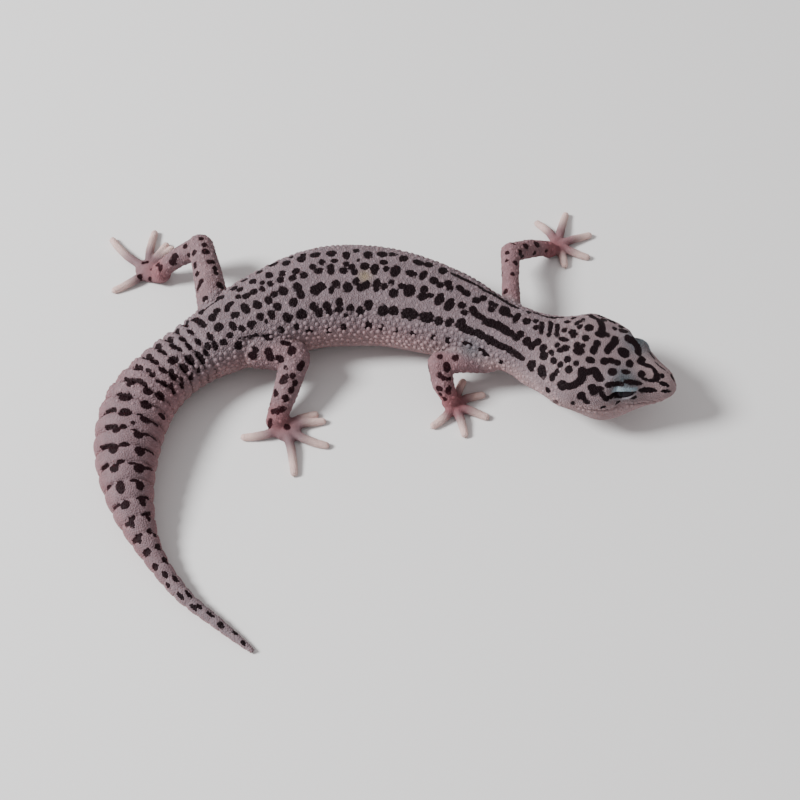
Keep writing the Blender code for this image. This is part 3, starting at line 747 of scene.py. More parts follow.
BANDS = [
    [(54, -34), (50.7, -35), (48.8, -37), (46.5, -38), 0.62],
    [(45.3, -40), (43.3, -42), (41.5, -39), (40, -36), (38.4, -35.5), 0.85],
    [(34.1, -44), (31.3, -40), (30, -42), (28.7, -50), 0.65], [(46.2, 5), (45.2, 9.5), (43.5, 11), 0.85],
    [(41.7, 14.5), (40.2, 13.5), (38.3, 15.5), (36.9, 18.5), 1.3],
    [(46.6, 36), (45.5, 38.5), (42.7, 38), (40.2, 42), (38.6, 45), (36.7, 47), (34.9, 49), (32.3, 54), 1.2],
    [(41, 65), (39.6, 75), 0.65], [(104.6, 43), (101.5, 49), (99.3, 55), 0.2],
    [(107, -36), (104.6, -36.5), (102.5, -37), 0.22], [(31.6, -18), (30.4, 1), 0.38],
    [(30, -26), (28.6, 1), 0.4], [(28.3, -21), (27, -2), 0.38], [(110.1, -35), (109.4, -5), 0.6],
    [(22.2, 60), (21, 58), (20, 54), (19.2, 49), (18.8, 42), (19.1, 34), (17.9, 31), (16.9, 28.5), 0.8],
    [(16.9, 28.5), (16.1, 33), (15.3, 38), 0.88], [(14.6, 57), (13.9, 63), (13.2, 69), (12.7, 74), 0.5],
    [(18, 68), (17.2, 74), (16.5, 80), 0.5], [(17.6, -58), (16.3, -54), 0.4], [(7.3, -35), (6, -33), 0.35],
    [(5.2, -24), (4.2, -23), (2.9, -26), 0.26], [(14.8, -15), (15, -9), (15.6, -1), 0.66],
    [(22.3, -55), (21.7, -50), (20.8, -45), (19.6, -42), (19, -36), (18.3, -28), (18, -20),
     (18.1, -15), 0.72],
    [(12.4, -25), (11, -26), (9.9, -24.5), (9.5, -17), 0.74],
    [(8.2, -13), (8.6, -4), (7.2, -4.5), (6.1, -7.5), (5.1, -4), (4.4, 3), (4.2, 13), (4.4, 22), 0.6],
    [(4.4, 22), (5.5, 26), (6.5, 25), 0.6], [(13, 45), (11.9, 43), (11.1, 42), 0.95],
    [(9.5, 35.5), (8.6, 35), (7.5, 37), 0.85],
    [(128.6, -36), (128.7, -20), (128.2, -2), (128.4, 10), (129.3, 17), 0.38],
    [(135.8, -45), (135.6, -22), 0.26], [(139.3, -37), (139.5, -14), 0.4],
    [(143.3, -49), (143.5, -20), 0.46], [(147.4, -64), (147.1, -35), 0.4],
    [(155.4, -68), (155.5, -35), 0.34], [(159.5, -50), (159.8, -28), 0.36],
    [(163, -68), (163.1, -34), 0.46], [(116.4, 66), (115.8, 55), 0.26], [(119.3, 70), (118.4, 55), 0.3],
    [(122.4, 71), (121.3, 50), 0.3], [(125.2, 66), (124.6, 44), 0.34], [(136.9, 60), (136.6, 40), 0.34],
    [(140.6, 64), (140.2, 42), 0.3], [(144.3, 66), (144.1, 42), 0.36], [(148.2, 68), (148.8, 42), 0.28],
    [(155.4, 60), (155.5, 28), 0.4], [(158.9, 60), (159.1, 30), 0.36], [(166.1, 66), (166.4, 40), 0.42],
]  # places along each band, and half its width
LEG_SPOTS = {
    ("hind_right", "upper"): [
        (0.5, 61, 0.95), (0.51, 44, 0.8), (0.7, 38, 0.8), (0.74, 55, 0.8), (0.85, -7, 0.6),
        (0.91, -10, 0.6), (1, 20, 0.75), (1, 7, 0.7), (0.87, 54, 0.8), (0.45, -30, 0.7), (0.7, -50, 0.7),
    ],
    ("hind_right", "lower"): [
        (0.19, 21, 0.35), (0.12, -42, 0.75), (0.06, -46, 0.7), (0.3, -22, 0.58), (0.42, 15, 0.75),
        (0.37, 10, 0.7), (0.39, -44, 0.62), (0.5, -39, 0.62), (0.6, 41, 0.58), (0.64, 30, 0.6),
        (0.66, -26, 0.72), (0.93, 16, 0.5), (0.9, -5, 0.55), (0.86, -24, 0.55), (0.84, -34, 0.5),
        (0.84, 67, 0.35), (0.45, -110, 0.6), (0.25, 100, 0.55),
    ],
    ("front_right", "upper"): [
        (1, 0, 0.55), (0.64, -17, 0.7), (0.87, -51, 0.65), (0.86, -66, 0.7), (0.6, 50, 0.55),
        (0.85, 70, 0.55),
    ],
    ("front_right", "lower"): [
        (0.28, 18, 0.55), (0.38, 2, 0.42), (0.43, -20, 0.34), (0.42, -39, 0.34), (0.5, 62, 0.5),
        (0.5, 51, 0.5), (0.63, 6, 0.55), (0.69, 16, 0.5), (0.69, 72, 0.45), (0.86, 61, 0.45),
        (0.02, 90, 0.5), (0.3, 110, 0.5),
    ],
    ("hind_left", "upper"): [
        (0.86, 15, 0.65), (0.72, 12, 0.85), (0.79, -48, 0.75), (0.5, 15, 0.6), (0.5, 32, 0.5),
        (0.44, 34, 0.55), (0.39, 34, 0.55), (0.57, -54, 0.6), (0.52, -52, 0.5), (0.43, -46, 0.6),
        (0.33, -33, 0.6), (0.3, -45, 0.5), (0.28, -60, 0.5), (0.26, 41, 0.95), (0.14, -28, 0.7),
        (1, 5, 0.5), (0.75, 75, 0.6), (0.9, -95, 0.55), (0.55, -105, 0.6),
    ],
    ("hind_left", "lower"): [
        (0.19, -3, 0.65), (0.49, -35, 0.85), (0.58, -49, 0.8), (0.42, 35, 0.35), (0.3, 75, 0.55),
    ],
    ("front_left", "lower"): [
        (0.54, 16, 0.75), (0.24, 22, 0.75), (0.03, 55, 0.65), (0.11, 88, 0.6), (0.85, -8, 0.35),
        (0.81, 69, 0.3), (0, -9, 0.35), (0.45, 80, 0.5),
    ],
    ("front_left", "upper"): [
        (0.73, 34, 0.55), (0.51, 12, 0.45), (0.26, -42, 0.6), (0.9, -26, 0.45), (0.76, -27, 0.35),
        (0.35, 85, 0.5), (0.6, -90, 0.5),
    ],
}  # how far along the limb, degrees round from its top, radius
FOOT_SPOTS = [
    (-23.7, -5.2, 0.55), (-19.9, -5.7, 0.65), (-56.3, 37.2, 0.5), (-55, 41.3, 0.35), (-55.8, 41.1, 0.35),
    (-53.9, 36.6, 0.3), (-51.7, 37.9, 0.4), (-51, 36.9, 0.45), (-53.5, 38.8, 0.3),
]  # x, y and radius of those on the tops of the hind feet
FAR_FLANK = (1.7, 8)  # the far flank's row mirrors the near one's, this far behind it and round
SPOT_SWELL = 0.15  # how far each marking spreads past its size
DEGREE_WIDTH = 0.2  # about how wide a degree is on the body
STAIN_AT = (71.8, 5.7)  # a small yellowish patch on the back


def run_point(run, along, degrees):
    """A point on the surface round a run, so far along it, at degrees round from its top."""
    rows = np.array(run, float)
    k = min(int(along * (len(rows) - 1)), len(rows) - 2)
    x, y, z, radius = rows[k] + (rows[k + 1] - rows[k]) * (along * (len(rows) - 1) - k)
    ahead = (rows[k + 1] - rows[k])[:3]
    ahead /= np.linalg.norm(ahead)
    side = np.cross(ahead, (0, 0, 1))
    side /= np.linalg.norm(side)
    turn = math.radians(degrees)
    return np.array((x, y, z)) + radius * (side * math.sin(turn) + np.cross(side, ahead) * math.cos(turn))


def marking(points):
    """How far points lie from the nearest marking's edge, negative inside one."""
    at, degrees, height = body_place(points)
    wander = 0.12 * waves(points, 0.9, 3.0) + 0.06 * waves(points, 0.45, 5.0) - SPOT_SWELL
    found = np.full(len(points), 9.0)
    behind, round_by = FAR_FLANK
    far_flank = [(s + behind, round_by - turn, length, width) for s, turn, length, width in FLANK_ROW]
    rows = HEAD_SPOTS + NECK_SPOTS + FAR_ROW + FAR_DORSAL_ROW + NEAR_DORSAL_ROW + HIP_ROW + NEAR_ROW
    for s, turn, length, width in rows + FLANK_ROW + far_flank + TAIL_SPOTS:
        near = np.flatnonzero(np.abs(at - s) < length + 1.5)
        off = np.hypot((at[near] - s) / length, (degrees[near] - turn) / width)
        gap = (off - 1) * (length + width * DEGREE_WIDTH) / 2
        found[near] = melt(found[near], gap, 0.22)
    for *band, half in BANDS:
        path = np.array(band, float)
        low, high = path[:, 0].min() - half - 1, path[:, 0].max() + half + 1
        near = np.flatnonzero((at > low) & (at < high))
        here = np.column_stack((at[near], degrees[near] * DEGREE_WIDTH))
        path[:, 1] *= DEGREE_WIDTH
        gap = np.full(len(near), 9.0)
        for a, b in zip(path, path[1:]):
            t = np.clip((here - a) @ (b - a) / ((b - a) @ (b - a)), 0, 1)
            gap = np.minimum(gap, np.linalg.norm(here - a - t[:, None] * (b - a), axis=1) - half)
        found[near] = melt(found[near], gap, 0.2)
    found += 3 * ease(height, 0.6, 1.4) * (at > 27)
    for (name, limb), spots in LEG_SPOTS.items():
        for along, turn, radius in spots:
            spot = run_point(LEGS[name][limb], along, turn)
            found = melt(found, np.linalg.norm(points - spot, axis=1) - radius - 0.04, 0.25)
    for x, y, radius in FOOT_SPOTS:
        gap = np.hypot(points[:, 0] - x, points[:, 1] - y) - radius + 3 * (points[:, 2] < 0.8)
        found = melt(found, gap, 0.2)
    return found + wander


def skin_tints(points):
    """How pink, pale, blue, buff and yellow the skin is at points, each from 0 to 1."""
    at, degrees, height = body_place(points)
    side = np.abs(degrees)
    pink = 0.28 * ease(side, 50, 92) * ease(at, 40, 60)
    on_tail = ease(at, 112, 128) * (1 - ease(at, 165, 185))
    pink = np.maximum(pink, (0.2 + 0.3 * ease(side, 25, 75)) * on_tail)
    pink = np.maximum(pink, (0.15 + 0.15 * ease(at, 26, 36)) * ease(side, 75, 110))
    above = 0.25 + 0.45 * (1 - ease(at, 4, 16)) - 0.25 * ease(at, 26, 34)
    pale = np.maximum(ease(side, 62, 105), above) * (1 - ease(height, 0.6, 2))
    toes = np.zeros(len(points))
    for name, leg in LEGS.items():
        whole, _ = leg_surface(points, leg)
        wrist, palm = np.array(leg["lower"][-1][:3]), np.array((*leg["palm"][:2], 1.0))
        on_leg = (1 - ease(whole, 0.3, 1.5)) * ease(height, 0.2, 2.5)
        limb = 0.45 if name.startswith("front") else 0.25
        red = hump(np.linalg.norm(points - wrist, axis=1), 3.2)
        red += 0.3 * hump(np.linalg.norm(points - palm, axis=1), 3)
        pink = np.maximum(pink, on_leg * np.clip(limb + 0.75 * red, 0, 1))
        pale = np.maximum(pale, 0.12 * on_leg)
        for toe in leg["toes"]:
            gap, along = run_distance(points, toe_run(leg["palm"], toe), 0.0)
            toes = np.maximum(toes, (1 - ease(gap, 0.3, 0.8)) * ease(along, 0.15, 0.75))
    pink *= 1 - 0.8 * toes
    blue = np.zeros(len(points))
    for turn in (-1, 1):
        middle, out, _, up = eye_frame(turn)
        offset = points - middle - out * 1.5 - up * 1.6
        blue = np.maximum(blue, hump(np.linalg.norm(offset, axis=1), 3.6))
    shoulder = body_point(43.0, 68.0)[0]
    blue = np.maximum(blue, 0.5 * hump(np.linalg.norm(points - shoulder, axis=1), 2.6))
    stain = np.hypot(at - STAIN_AT[0], (degrees - STAIN_AT[1]) * DEGREE_WIDTH)
    return {"pink": pink, "pale": pale, "blue": blue, "toes": toes, "stain": 0.7 * hump(stain, 1.3)}


def lid_rims_and_highlights(points):
    """How near points lie to the pale rims of the eyelids, partly their own pale colour and partly a painted
    highlight, and how far in the dark slits, from 0 to 1.
    """
    rim_and_highlight, slit = np.zeros(len(points)), np.zeros(len(points))
    for turn in (-1, 1):
        middle, out, along, up = eye_frame(turn)
        offset = points - middle
        near = (offset @ out > 0) & (np.linalg.norm(offset, axis=1) < EYE_RADIUS + 1.2)
        inside = eye_opening(offset, along, up)
        above = offset @ up > -0.1
        band = np.where(above, 1 - ease(-inside, 0.85, 1.15), 0.2 * (1 - ease(-inside, 0.3, 0.6)))
        band *= (1 - ease(np.abs(offset @ along), 2.9, 3.4)) * (1 - ease(inside, 0, 0.1))
        rim_and_highlight = np.maximum(rim_and_highlight, near * band)
        slit = np.maximum(slit, near * ease(inside, 0.02, 0.12))
    return rim_and_highlight, slit


def keep_values(mesh, values):
    """Stores values on a mesh's points, one attribute for each name."""
    for name, numbers in values.items():
        layer = mesh.attributes.new(name, "FLOAT", "POINT")
        layer.data.foreach_set("value", np.ascontiguousarray(numbers, np.float32))


def looks_at(points):
    """Every value that colours the animal, at points on its skin."""
    rim_and_highlight, slit = lid_rims_and_highlights(points)
    return {"marking": (marking(points) + 2 * rim_and_highlight) * (1 - slit) - slit, "rim_and_highlight": rim_and_highlight, **skin_tints(points)}


keep_values(fused, looks_at(mesh_points(fused)))


# ---------------------------------------------------------------- the skin's finish
# Dry, finely grained skin in lavender grey, pink where it is thin on wrists and flanks, paler below and
# bluish over the eyes, with maroon-black markings.

BACK_COLOUR = (0.170, 0.128, 0.142, 1)
BELLY_COLOUR = (0.30, 0.215, 0.22, 1)
PINK_COLOUR = (0.23, 0.095, 0.106, 1)
TOE_COLOUR = (0.62, 0.44, 0.41, 1)
BLUE_COLOUR = (0.062, 0.085, 0.097, 1)
STAIN_COLOUR = (0.23, 0.18, 0.105, 1)
# pale bluish eyelid rims: partly the lids' own pale colour, partly a painted highlight
RIM_AND_HIGHLIGHT_COLOUR = (0.19, 0.235, 0.27, 1)
SPOT_COLOUR = (0.006, 0.0018, 0.0032, 1)
RED_SPOT_COLOUR = (0.028, 0.004, 0.007, 1)
SKIN_ROUGHNESS = 0.6
SKIN_SHINE = 0.1
EDGE_SOFTNESS = 0.13  # of a marking, in millimetres
TONES = (0.88, 1.08)  # how dark and how light the skin's colour gets
TONE_PATCHES = 340.0  # in a metre
GRAIN = 0.42  # of the bare skin, in millimetres
GRAIN_DEPTH = 0.4  # as a share of it
GLOW = 0.12  # how much light passes through the skin
GLOW_REACH = (1.0, 0.4, 0.3)
GLOW_DEPTH = 0.0015


def skin_finish(name, grain=0):
    """A skin material: colours from the stored values, with a changing tone, a stored tone with painted
    shade and highlight where there is no grain, and a fine grain if asked.
    """
    material, nodes, links, shader = new_material(name)

    def stored(attribute):
        node = nodes.new("ShaderNodeAttribute")
        node.attribute_name = attribute
        return node.outputs["Fac"]

    def remapped(value, low, high, start, end):
        node = nodes.new("ShaderNodeMapRange")
        node.interpolation_type = "SMOOTHSTEP"
        links.new(value, node.inputs["Value"])
        set_inputs(node, {"From Min": low, "From Max": high, "To Min": start, "To Max": end})
        return node.outputs["Result"]

    def mixed(share, a, b, blend="MIX"):
        node = nodes.new("ShaderNodeMix")
        node.data_type = "RGBA"
        node.blend_type = blend
        for socket, value in ((node.inputs["Factor"], share), (node.inputs["A"], a), (node.inputs["B"], b)):
            if isinstance(value, (tuple, float)):
                socket.default_value = value
            else:
                links.new(value, socket)
        return node.outputs["Result"]

    place = nodes.new("ShaderNodeTexCoord").outputs["Object"]
    clouds = nodes.new("ShaderNodeTexNoise")
    links.new(place, clouds.inputs["Vector"])
    set_inputs(clouds, {"Scale": TONE_PATCHES, "Detail": 4.0})
    colour = mixed(stored("pale"), BACK_COLOUR, BELLY_COLOUR)
    colour = mixed(stored("pink"), colour, PINK_COLOUR)
    colour = mixed(stored("toes"), colour, TOE_COLOUR)
    colour = mixed(stored("blue"), colour, BLUE_COLOUR)
    colour = mixed(stored("stain"), colour, STAIN_COLOUR)
    # the eyelid rims, partly their own pale colour and partly a painted highlight
    colour = mixed(stored("rim_and_highlight"), colour, RIM_AND_HIGHLIGHT_COLOUR)
    shade = remapped(clouds.outputs["Fac"], 0.3, 0.7, *TONES)
    colour = mixed(1.0, colour, shade, "MULTIPLY")
    # the scales: their own random tone, with painted shade at each scale's foot and a painted highlight at
    # its tip
    if grain == 0:
        colour = mixed(1.0, colour, stored("tone_and_shading"), "MULTIPLY")
    dark = mixed(stored("pink"), SPOT_COLOUR, RED_SPOT_COLOUR)
    inside = remapped(stored("marking"), -EDGE_SOFTNESS, EDGE_SOFTNESS, 1.0, 0.0)
    links.new(mixed(inside, colour, dark), shader.inputs["Base Color"])
    set_inputs(shader, {
        "Roughness": SKIN_ROUGHNESS, "Specular IOR Level": SKIN_SHINE,
        "Subsurface Weight": GLOW, "Subsurface Radius": GLOW_REACH, "Subsurface Scale": GLOW_DEPTH,
    })
    if grain:
        beads = nodes.new("ShaderNodeTexVoronoi")
        links.new(place, beads.inputs["Vector"])
        beads.inputs["Scale"].default_value = 1 / (grain * MM)
        bump = nodes.new("ShaderNodeBump")
        bump.invert = True
        set_inputs(bump, {"Strength": 0.5, "Distance": grain * MM * GRAIN_DEPTH})
        links.new(beads.outputs["Distance"], bump.inputs["Height"])
        links.new(bump.outputs["Normal"], shader.inputs["Normal"])
    return material


fused.shade_smooth()
fused.materials.clear()
fused.materials.append(skin_finish("hide", GRAIN))
flesh = [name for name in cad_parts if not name.startswith("eye")]
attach(skin, "root")
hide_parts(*flesh)


# ---------------------------------------------------------------- the eyes
# Dark wet eyeballs, each a whole ball set in its socket behind the lids, with an upright slit pupil in a
# near-black iris.

IRIS_COLOUR = (0.012, 0.009, 0.013, 1)
PUPIL_COLOUR = (0.002, 0.002, 0.003, 1)
PUPIL_SIZE = (0.35, 2.2)  # half its width and height
EYE_ROUGHNESS = 0.1
EYE_SHINE = 0.05
WET_COAT = 0.05
WET_ROUGHNESS = 0.02


def two_colours(nodes, low, high):
    """A colour ramp that goes from one place and colour to another."""
    ramp = nodes.new("ShaderNodeValToRGB")
    for stop, (position, colour) in zip(ramp.color_ramp.elements, (low, high)):
        stop.position = position
        stop.color = colour
    return ramp


for name, turn in (("eye_left", -1), ("eye_right", 1)):
    middle, out, along, up = eye_frame(turn)
    bm = bmesh.new()
    bmesh.ops.create_uvsphere(bm, u_segments=40, v_segments=28, radius=EYE_RADIUS * MM)
    turned = np.column_stack((along, up, out))
    for vert in bm.verts:
        vert.co = turned @ np.array(vert.co) + middle * MM
    bmesh.ops.recalc_face_normals(bm, faces=bm.faces)
    ball = as_mesh(bm, name + "_ball")
    eye = placed(name + "_ball", ball)
    ball.shade_smooth()
    offset = mesh_points(ball) - middle
    slit = np.hypot((offset @ along) / PUPIL_SIZE[0], (offset @ up) / PUPIL_SIZE[1])
    keep_values(ball, {"pupil": np.where(offset @ out > 0, slit, 9.0)})
    gloss, nodes, links, shader = new_material(name + "_gloss")
    pupil = nodes.new("ShaderNodeAttribute")
    pupil.attribute_name = "pupil"
    ramp = two_colours(nodes, (0.9, PUPIL_COLOUR), (1.0, IRIS_COLOUR))
    links.new(pupil.outputs["Fac"], ramp.inputs["Fac"])
    links.new(ramp.outputs["Color"], shader.inputs["Base Color"])
    set_inputs(shader, {
        "Roughness": EYE_ROUGHNESS, "Specular IOR Level": EYE_SHINE,
        "Coat Weight": WET_COAT, "Coat Roughness": WET_ROUGHNESS,
    })
    ball.materials.append(gloss)
    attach(eye, "root")
    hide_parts(name)


# ---------------------------------------------------------------- the claws
# A short blunt claw of pale layered horn on every toe, set into the toe's tip and hooked down to the floor.
# Each is lofted through rings that narrow to its point.

CLAW_SIDES = 10
CLAW_RADIUS = 0.34
CLAW_TIP = 0.04
HORN_COLOURS = ((0.20, 0.165, 0.14, 1), (0.30, 0.25, 0.215, 1))
HORN_ROUGHNESS = 0.38
HORN_LAYERS = 2500.0  # in a metre

bm = bmesh.new()
for leg in LEGS.values():
    for toe in leg["toes"]:
        run = np.array(toe_run(leg["palm"], toe))
        ahead = run[-1, :3] - run[-2, :3]
        ahead[2] = 0
        ahead /= np.linalg.norm(ahead)
        side = np.cross(ahead, (0, 0, 1))
        rings = []
        for t in np.linspace(0, 1, 7):
            middle = run[-1, :3] + ahead * (0.25 + (CLAW_LENGTH - 0.3) * t)
            middle[2] = 0.62 + 0.12 * math.sin(math.pi * t) - 0.45 * t * t
            turns = np.arange(CLAW_SIDES) * math.tau / CLAW_SIDES
            ring = np.outer(np.sin(turns) * 0.8, side) + np.outer(np.cos(turns), (0, 0, 1))
            rings.append((middle + ring * ((CLAW_RADIUS - CLAW_TIP) * (1 - t) ** 0.7 + CLAW_TIP)) * MM)
        ring_loft(bm, rings)
bmesh.ops.recalc_face_normals(bm, faces=bm.faces)
claws = placed("claws", as_mesh(bm, "claws"))
claws.data.shade_smooth()
horn, nodes, links, shader = new_material("horn")
layers = nodes.new("ShaderNodeTexNoise")
set_inputs(layers, {"Scale": HORN_LAYERS})
ramp = two_colours(nodes, (0.3, HORN_COLOURS[0]), (0.7, HORN_COLOURS[1]))
links.new(nodes.new("ShaderNodeTexCoord").outputs["Object"], layers.inputs["Vector"])
links.new(layers.outputs["Fac"], ramp.inputs["Fac"])
links.new(ramp.outputs["Color"], shader.inputs["Base Color"])
set_inputs(shader, {"Roughness": HORN_ROUGHNESS})
claws.data.materials.append(horn)
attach(claws, "root")


# ---------------------------------------------------------------- the scales
# Small low scales over the whole hide, flatter and larger under the belly, with raised tubercles among them
# on the neck, back, flanks, tail base and limbs, and a row of plates along each lip. None lie in the eyes'
# slits, the nostrils or the ears. Each region's scales are one piece and its tubercles another.

SCALE_GAP = 0.37  # between the middles of neighbours, on the trunk and tail
HEAD_GAP = 0.345
BELLY_GAP = 0.52
LIMB_GAP = 0.33
FOOT_GAP = 0.27
LIP_PLATE = 0.78
LIP_ROW = 0.62 * LIP_PLATE  # how far the plates' middles lie from the mouth's line
LIP_ROW_SPARE = 0.12  # and how far out of the row one may be
SCALE_FLOOR = 0.02  # no scale reaches lower
TUBERCLE_GAP = 1.06
TUBERCLE_SIZE = 0.52
TUBERCLE_RISE = 0.62  # share of its size, on the flanks
TUBERCLE_LOW = 0.46  # and elsewhere
PACKING = 0.7  # scales in a square as wide as their gap
CANDIDATES = 5.5  # tried for each scale kept
SCALE_SHAPE = (6, [(1.0, -0.4, 0.84), (0.76, 0.5, 1.0)], 1.06)
TUBERCLE_SHAPE = (8, [(1.0, -0.35, 0.88), (0.93, 0.3, 1.0), (0.62, 0.84, 1.05)], 1.07)
# sides; radius, height and tone of each ring, as shares, the lowest ring darker as painted shade at the
# scale's foot; tone of the tip, lighter as a painted highlight
PATCH = 0.003  # size of a scale's place on its piece's map
HIDE_PATCHES = {
    "head": (-1, 30, -180, 180),
    "neck": (30, 50, -180, 180),
    "right_side": (50, 110, 0, 96),
    "left_side": (50, 110, -96, 0),
    "belly": (50, 110, 96, 264),
    "tail": (110, 200, -180, 180),
}  # from and to along the body, from and to round it


def tree_of(places):
    """A tree that finds the places near a point."""
    tree = KDTree(len(places))
    for k, place in enumerate(places):
        tree.insert(place, k)
    tree.balance()
    return tree


def thinned(places, gaps, free):
    """Picks places in turn, striking out those closer to a picked one than its gap."""
    tree = tree_of(places)
    picked = []
    for k, place in enumerate(places):
        if free[k]:
            picked.append(k)
            for _, other, _ in tree.find_range(place, gaps[k]):
                free[other] = False
    return np.array(picked)


def run_turns(points, run):
    """How far along a run points lie, and the degrees round it."""
    gap, along = run_distance(points, run, 0.0)
    rows = np.array(run, float)
    k = np.minimum((along * (len(rows) - 1)).astype(int), len(rows) - 2)
    ahead = (rows[k + 1] - rows[k])[:, :3]
    ahead /= np.linalg.norm(ahead, axis=1, keepdims=True)
    side = np.cross(ahead, (0, 0, 1))
    off = points - rows[k, :3] - (rows[k + 1] - rows[k])[:, :3] * (along * (len(rows) - 1) - k)[:, None]
    return gap, along, np.degrees(np.arctan2((off * side).sum(1), (off * np.cross(side, ahead)).sum(1)))


def scale_piece(name, roots, chart, form):
    """Joins one scale for every root into a piece, each with a small place of its own on the map."""
    sides, levels, tip_highlight = form
    count = sides * len(levels) + 1
    turns = np.arange(sides) * math.tau / sides
    shape = [(math.cos(a) * r, math.sin(a) * r, z) for r, z, _ in levels for a in turns] + [(-0.1, 0, 1)]
    faces = []
    for k in range(sides):
        n = (k + 1) % sides
        for low in range(0, count - 1 - sides, sides):
            faces += [(low + k, low + n, low + n + sides), (low + k, low + n + sides, low + k + sides)]
        faces.append((count - 1 - sides + k, count - 1 - sides + n, count - 1))
    shape, faces = np.array(shape), np.array(faces)
    up = roots["normal"]
    back = -body_frame(np.clip(roots["at"], 0, TAIL_END))[1]
    back -= up * (back * up).sum(1, keepdims=True)
    back /= np.maximum(np.linalg.norm(back, axis=1, keepdims=True), 1e-6)
    across = np.cross(up, back)
    size, rise = roots["size"][:, None, None], roots["rise"][:, None, None]
    points = roots["place"][:, None] + rise * shape[None, :, 2:] * up[:, None]
    points = points + size * (shape[None, :, :1] * back[:, None] + shape[None, :, 1:2] * across[:, None])
    points[..., 2] = np.maximum(points[..., 2], SCALE_FLOOR)
    number = len(size)
    index = (faces[None] + (np.arange(number) * count)[:, None, None]).reshape(-1, 3)
    mesh = bpy.data.meshes.new(name)
    mesh.vertices.add(number * count)
    mesh.vertices.foreach_set("co", (points * MM).astype(np.float32).ravel())
    mesh.loops.add(index.size)
    mesh.loops.foreach_set("vertex_index", index.astype(np.int32).ravel())
    mesh.polygons.add(len(index))
    mesh.polygons.foreach_set("loop_start", np.arange(0, index.size, 3, dtype=np.int32))
    mesh.update(calc_edges=True)
    mesh.shade_smooth()
    spread = chart[:, None] + shape[None, :, :2] * PATCH / 2
    layer = mesh.uv_layers.new(name="OFBake")
    layer.data.foreach_set("uv", spread.reshape(-1, 2)[index.ravel()].astype(np.float32).ravel())
    # painted shade low on each scale and a painted highlight at its tip, as shares of the scale's own random
    # tone
    edge = np.array([tone_and_shading for _, _, tone_and_shading in levels for _ in turns] + [tip_highlight])
    kept = ("marking", "pink", "pale", "blue", "toes", "stain", "rim_and_highlight")
    values = {key: np.repeat(roots[key], count) for key in kept}
    values["tone_and_shading"] = (roots["tone_and_shading"][:, None] * edge[None]).ravel()
    keep_values(mesh, values)
    mesh.materials.append(scale_finish)
    piece = placed(name, mesh)
    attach(piece, "root")


rng = np.random.default_rng(7)
fused.calc_loop_triangles()
corners = np.empty(len(fused.loop_triangles) * 3, np.int32)
fused.loop_triangles.foreach_get("vertices", corners)
corners = corners.reshape(-1, 3)
points = mesh_points(fused)
normals = np.empty(len(points) * 3, np.float32)
fused.vertices.foreach_get("normal", normals)
normals = normals.reshape(-1, 3)
middles = points[corners].mean(1)
at, degrees, height = body_place(middles)
gap = np.full(len(middles), SCALE_GAP)
gap = np.where(at < 29, HEAD_GAP, gap)
gap = np.where((np.abs(degrees) > 104) & (at > 24) & (at < 110), BELLY_GAP, gap)
from_mouth = np.abs(middles[:, 2] - mouth_line(at))
lips = (at > 1.2) & (at < MOUTH_CORNER - 0.5) & (np.abs(degrees) > 30) & (from_mouth < LIP_PLATE + 0.1)
gap = np.where(lips, LIP_PLATE, gap)
for leg in LEGS.values():
    whole, foot = leg_surface(middles, leg)
    gap = np.where((whole < 0.6) & (height > 0.5), LIMB_GAP, gap)
    gap = np.where((foot < 0.6) & (height > 0.5), FOOT_GAP, gap)
a, b, c = (points[corners[:, k]] for k in range(3))
area = np.linalg.norm(np.cross(b - a, c - a), axis=1) / 2
share = area / gap**2
wanted = int(share.sum() * PACKING * CANDIDATES)
chosen = rng.choice(len(corners), wanted, p=share / share.sum())
mix = rng.random((wanted, 2))
mix[mix.sum(1) > 1] = 1 - mix[mix.sum(1) > 1]
mix = np.column_stack((1 - mix.sum(1), mix))[:, :, None]
place = (points[corners[chosen]] * mix).sum(1)
normal = (normals[corners[chosen]] * mix).sum(1)
normal /= np.linalg.norm(normal, axis=1, keepdims=True)
at, degrees, height, gap = at[chosen], degrees[chosen], height[chosen], gap[chosen]
from_mouth = np.abs(place[:, 2] - mouth_line(at))
open_skin = (place[:, 2] > 0.3) & ~(lips[chosen] & (np.abs(from_mouth - LIP_ROW) > LIP_ROW_SPARE))
for turn in (-1, 1):
    middle, out, along, up = eye_frame(turn)
    offset = place - middle
    by_eye = (offset @ out > -1.5) & (np.linalg.norm(offset, axis=1) < EYE_RADIUS + 1.8)
    open_skin &= ~(by_eye & (eye_opening(offset, along, up) > -0.42))
    open_skin &= np.linalg.norm(place - body_point(NOSTRILS[0], turn * NOSTRILS[1])[0], axis=1) > 0.45
    open_skin &= np.linalg.norm(place - body_point(EARS[0], turn * EARS[1])[0], axis=1) > 0.9

side = np.abs(degrees)
bumpy = (at > 22) & (at < 134) & (side < 102) & (height < 2.2) & (place[:, 2] > 1.5)
for leg in LEGS.values():
    limb = np.minimum(run_distance(place, leg["upper"], 0)[0], run_distance(place, leg["lower"], 0)[0])
    bumpy |= (limb < 0.5) & (height > 0.4) & (leg_surface(place, leg)[1] > 1.2)
tries = np.flatnonzero(bumpy & open_skin)[::3]
reach = TUBERCLE_GAP * (1 + 0.25 * (1 - ease(side[tries], 25, 60)) + 0.2 * (height[tries] > 0.5))
raised = tries[thinned(place[tries], reach, np.ones(len(tries), bool))]
flank = ease(side[raised], 30, 62) * (1 - ease(at[raised], 112, 124)) * ease(at[raised], 30, 40)
flank *= 1 - ease(height[raised], 0.4, 1.2)
big = TUBERCLE_SIZE * (0.78 + 0.22 * flank) * rng.uniform(0.88, 1.1, len(raised))

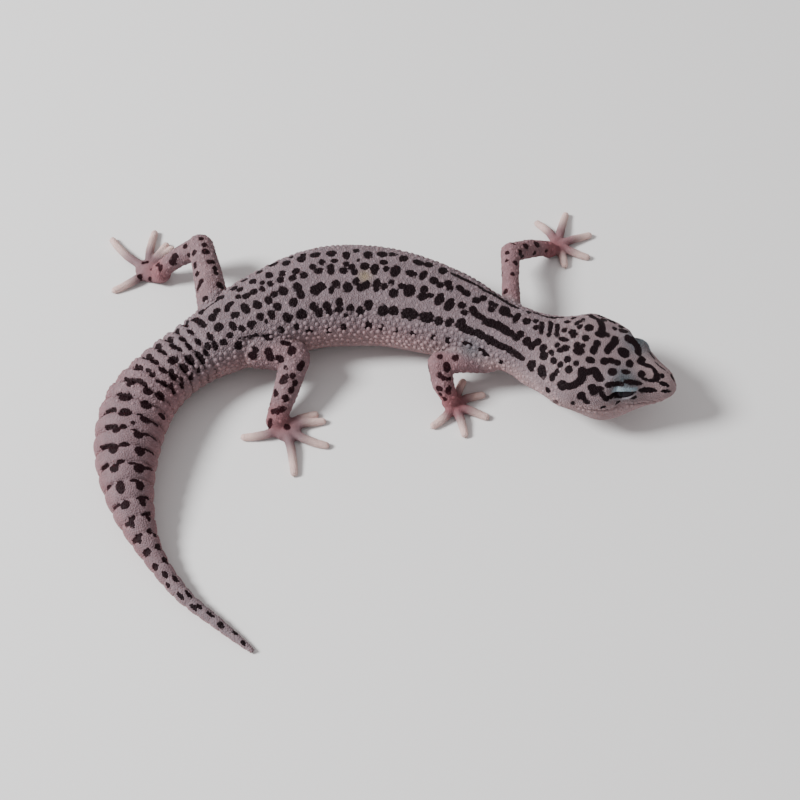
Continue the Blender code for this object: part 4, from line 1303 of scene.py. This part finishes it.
free = open_skin.copy()
tree = tree_of(place)
for k, size in zip(raised, big):
    for _, other, _ in tree.find_range(place[k], size * 0.95):
        free[other] = False
small = thinned(place, gap, free)
size = gap[small] * rng.uniform(0.6, 0.72, len(small))
flat = np.where((side[small] > 104) & (height[small] < 0.5), 0.25, 0.5)
flat = np.where((at[small] > 112) & (height[small] < 1.5), 0.32, flat)
flat = np.where(gap[small] == LIP_PLATE, 0.3, flat)
# painted shade between the bumps: the small scales among the flank's tubercles are darkened a little
shade_among_tubercles = ease(side[small], 30, 62) * ease(at[small], 34, 44) * (1 - ease(at[small], 108, 116))
shade_among_tubercles *= 1 - ease(height[small], 0.4, 1.2)

scale_finish = skin_finish("scales")
kinds = {
    "tubercles": (raised, TUBERCLE_SHAPE, {
        "size": big,
        "rise": big * (TUBERCLE_LOW + (TUBERCLE_RISE - TUBERCLE_LOW) * flank),
        # tubercles lighter than the scales: partly their own paler colour, partly a painted highlight on the
        # bumps
        "tone_and_shading": rng.uniform(1.02, 1.16, len(raised)),
        "lifted": 0.9 * flank * ease(side[raised], 48, 64),
    }),
    "scales": (small, SCALE_SHAPE, {
        "size": size,
        "rise": size * flat,
        "tone_and_shading": rng.uniform(0.9, 1.06, len(small)) * (1 - 0.08 * shade_among_tubercles),
        "lifted": np.zeros(len(small)),
    }),
}
for kind, (picked, form, own) in kinds.items():
    roots = {
        "place": place[picked], "normal": normal[picked], "at": at[picked], "degrees": degrees[picked],
        "height": height[picked], **own, **looks_at(place[picked]),
    }
    roots["marking"] += roots["lifted"]
    on_limb = roots["height"] > 0.55
    for name, (start, end, low, high) in HIDE_PATCHES.items():
        turn = np.where(roots["degrees"] < low, roots["degrees"] + 360, roots["degrees"])
        here = ~on_limb & (roots["at"] >= start) & (roots["at"] < end) & (turn >= low) & (turn < high)
        chart = np.column_stack(((roots["at"] - start) / (end - start), (turn - low) / (high - low)))
        chart = 0.01 + 0.98 * np.clip(chart, 0, 1)
        if here.any():
            mine = {key: values[here] for key, values in roots.items()}
            scale_piece(f"{name}_{kind}", mine, chart[here], form)
    nearest = np.argmin([leg_surface(roots["place"], leg)[0] for leg in LEGS.values()], axis=0)
    for k, (name, leg) in enumerate(LEGS.items()):
        mine = {key: values[on_limb & (nearest == k)] for key, values in roots.items()}
        runs = [leg["upper"], leg["lower"], palm_run(leg)]
        runs += [toe_run(leg["palm"], toe) for toe in leg["toes"]]
        turned = [run_turns(mine["place"], run) for run in runs]
        best = np.argmin([gap for gap, _, _ in turned], axis=0)
        along = np.choose(best, [along for _, along, _ in turned])
        round_at = np.choose(best, [degrees / 360 + 0.5 for _, _, degrees in turned])
        column, row = best % 3, best // 3  # each run has a ninth of the map
        chart = np.column_stack((column + 0.02 + 0.96 * along, row + 0.02 + 0.96 * round_at)) / 3
        scale_piece(f"{name}_{kind}", mine, chart, form)
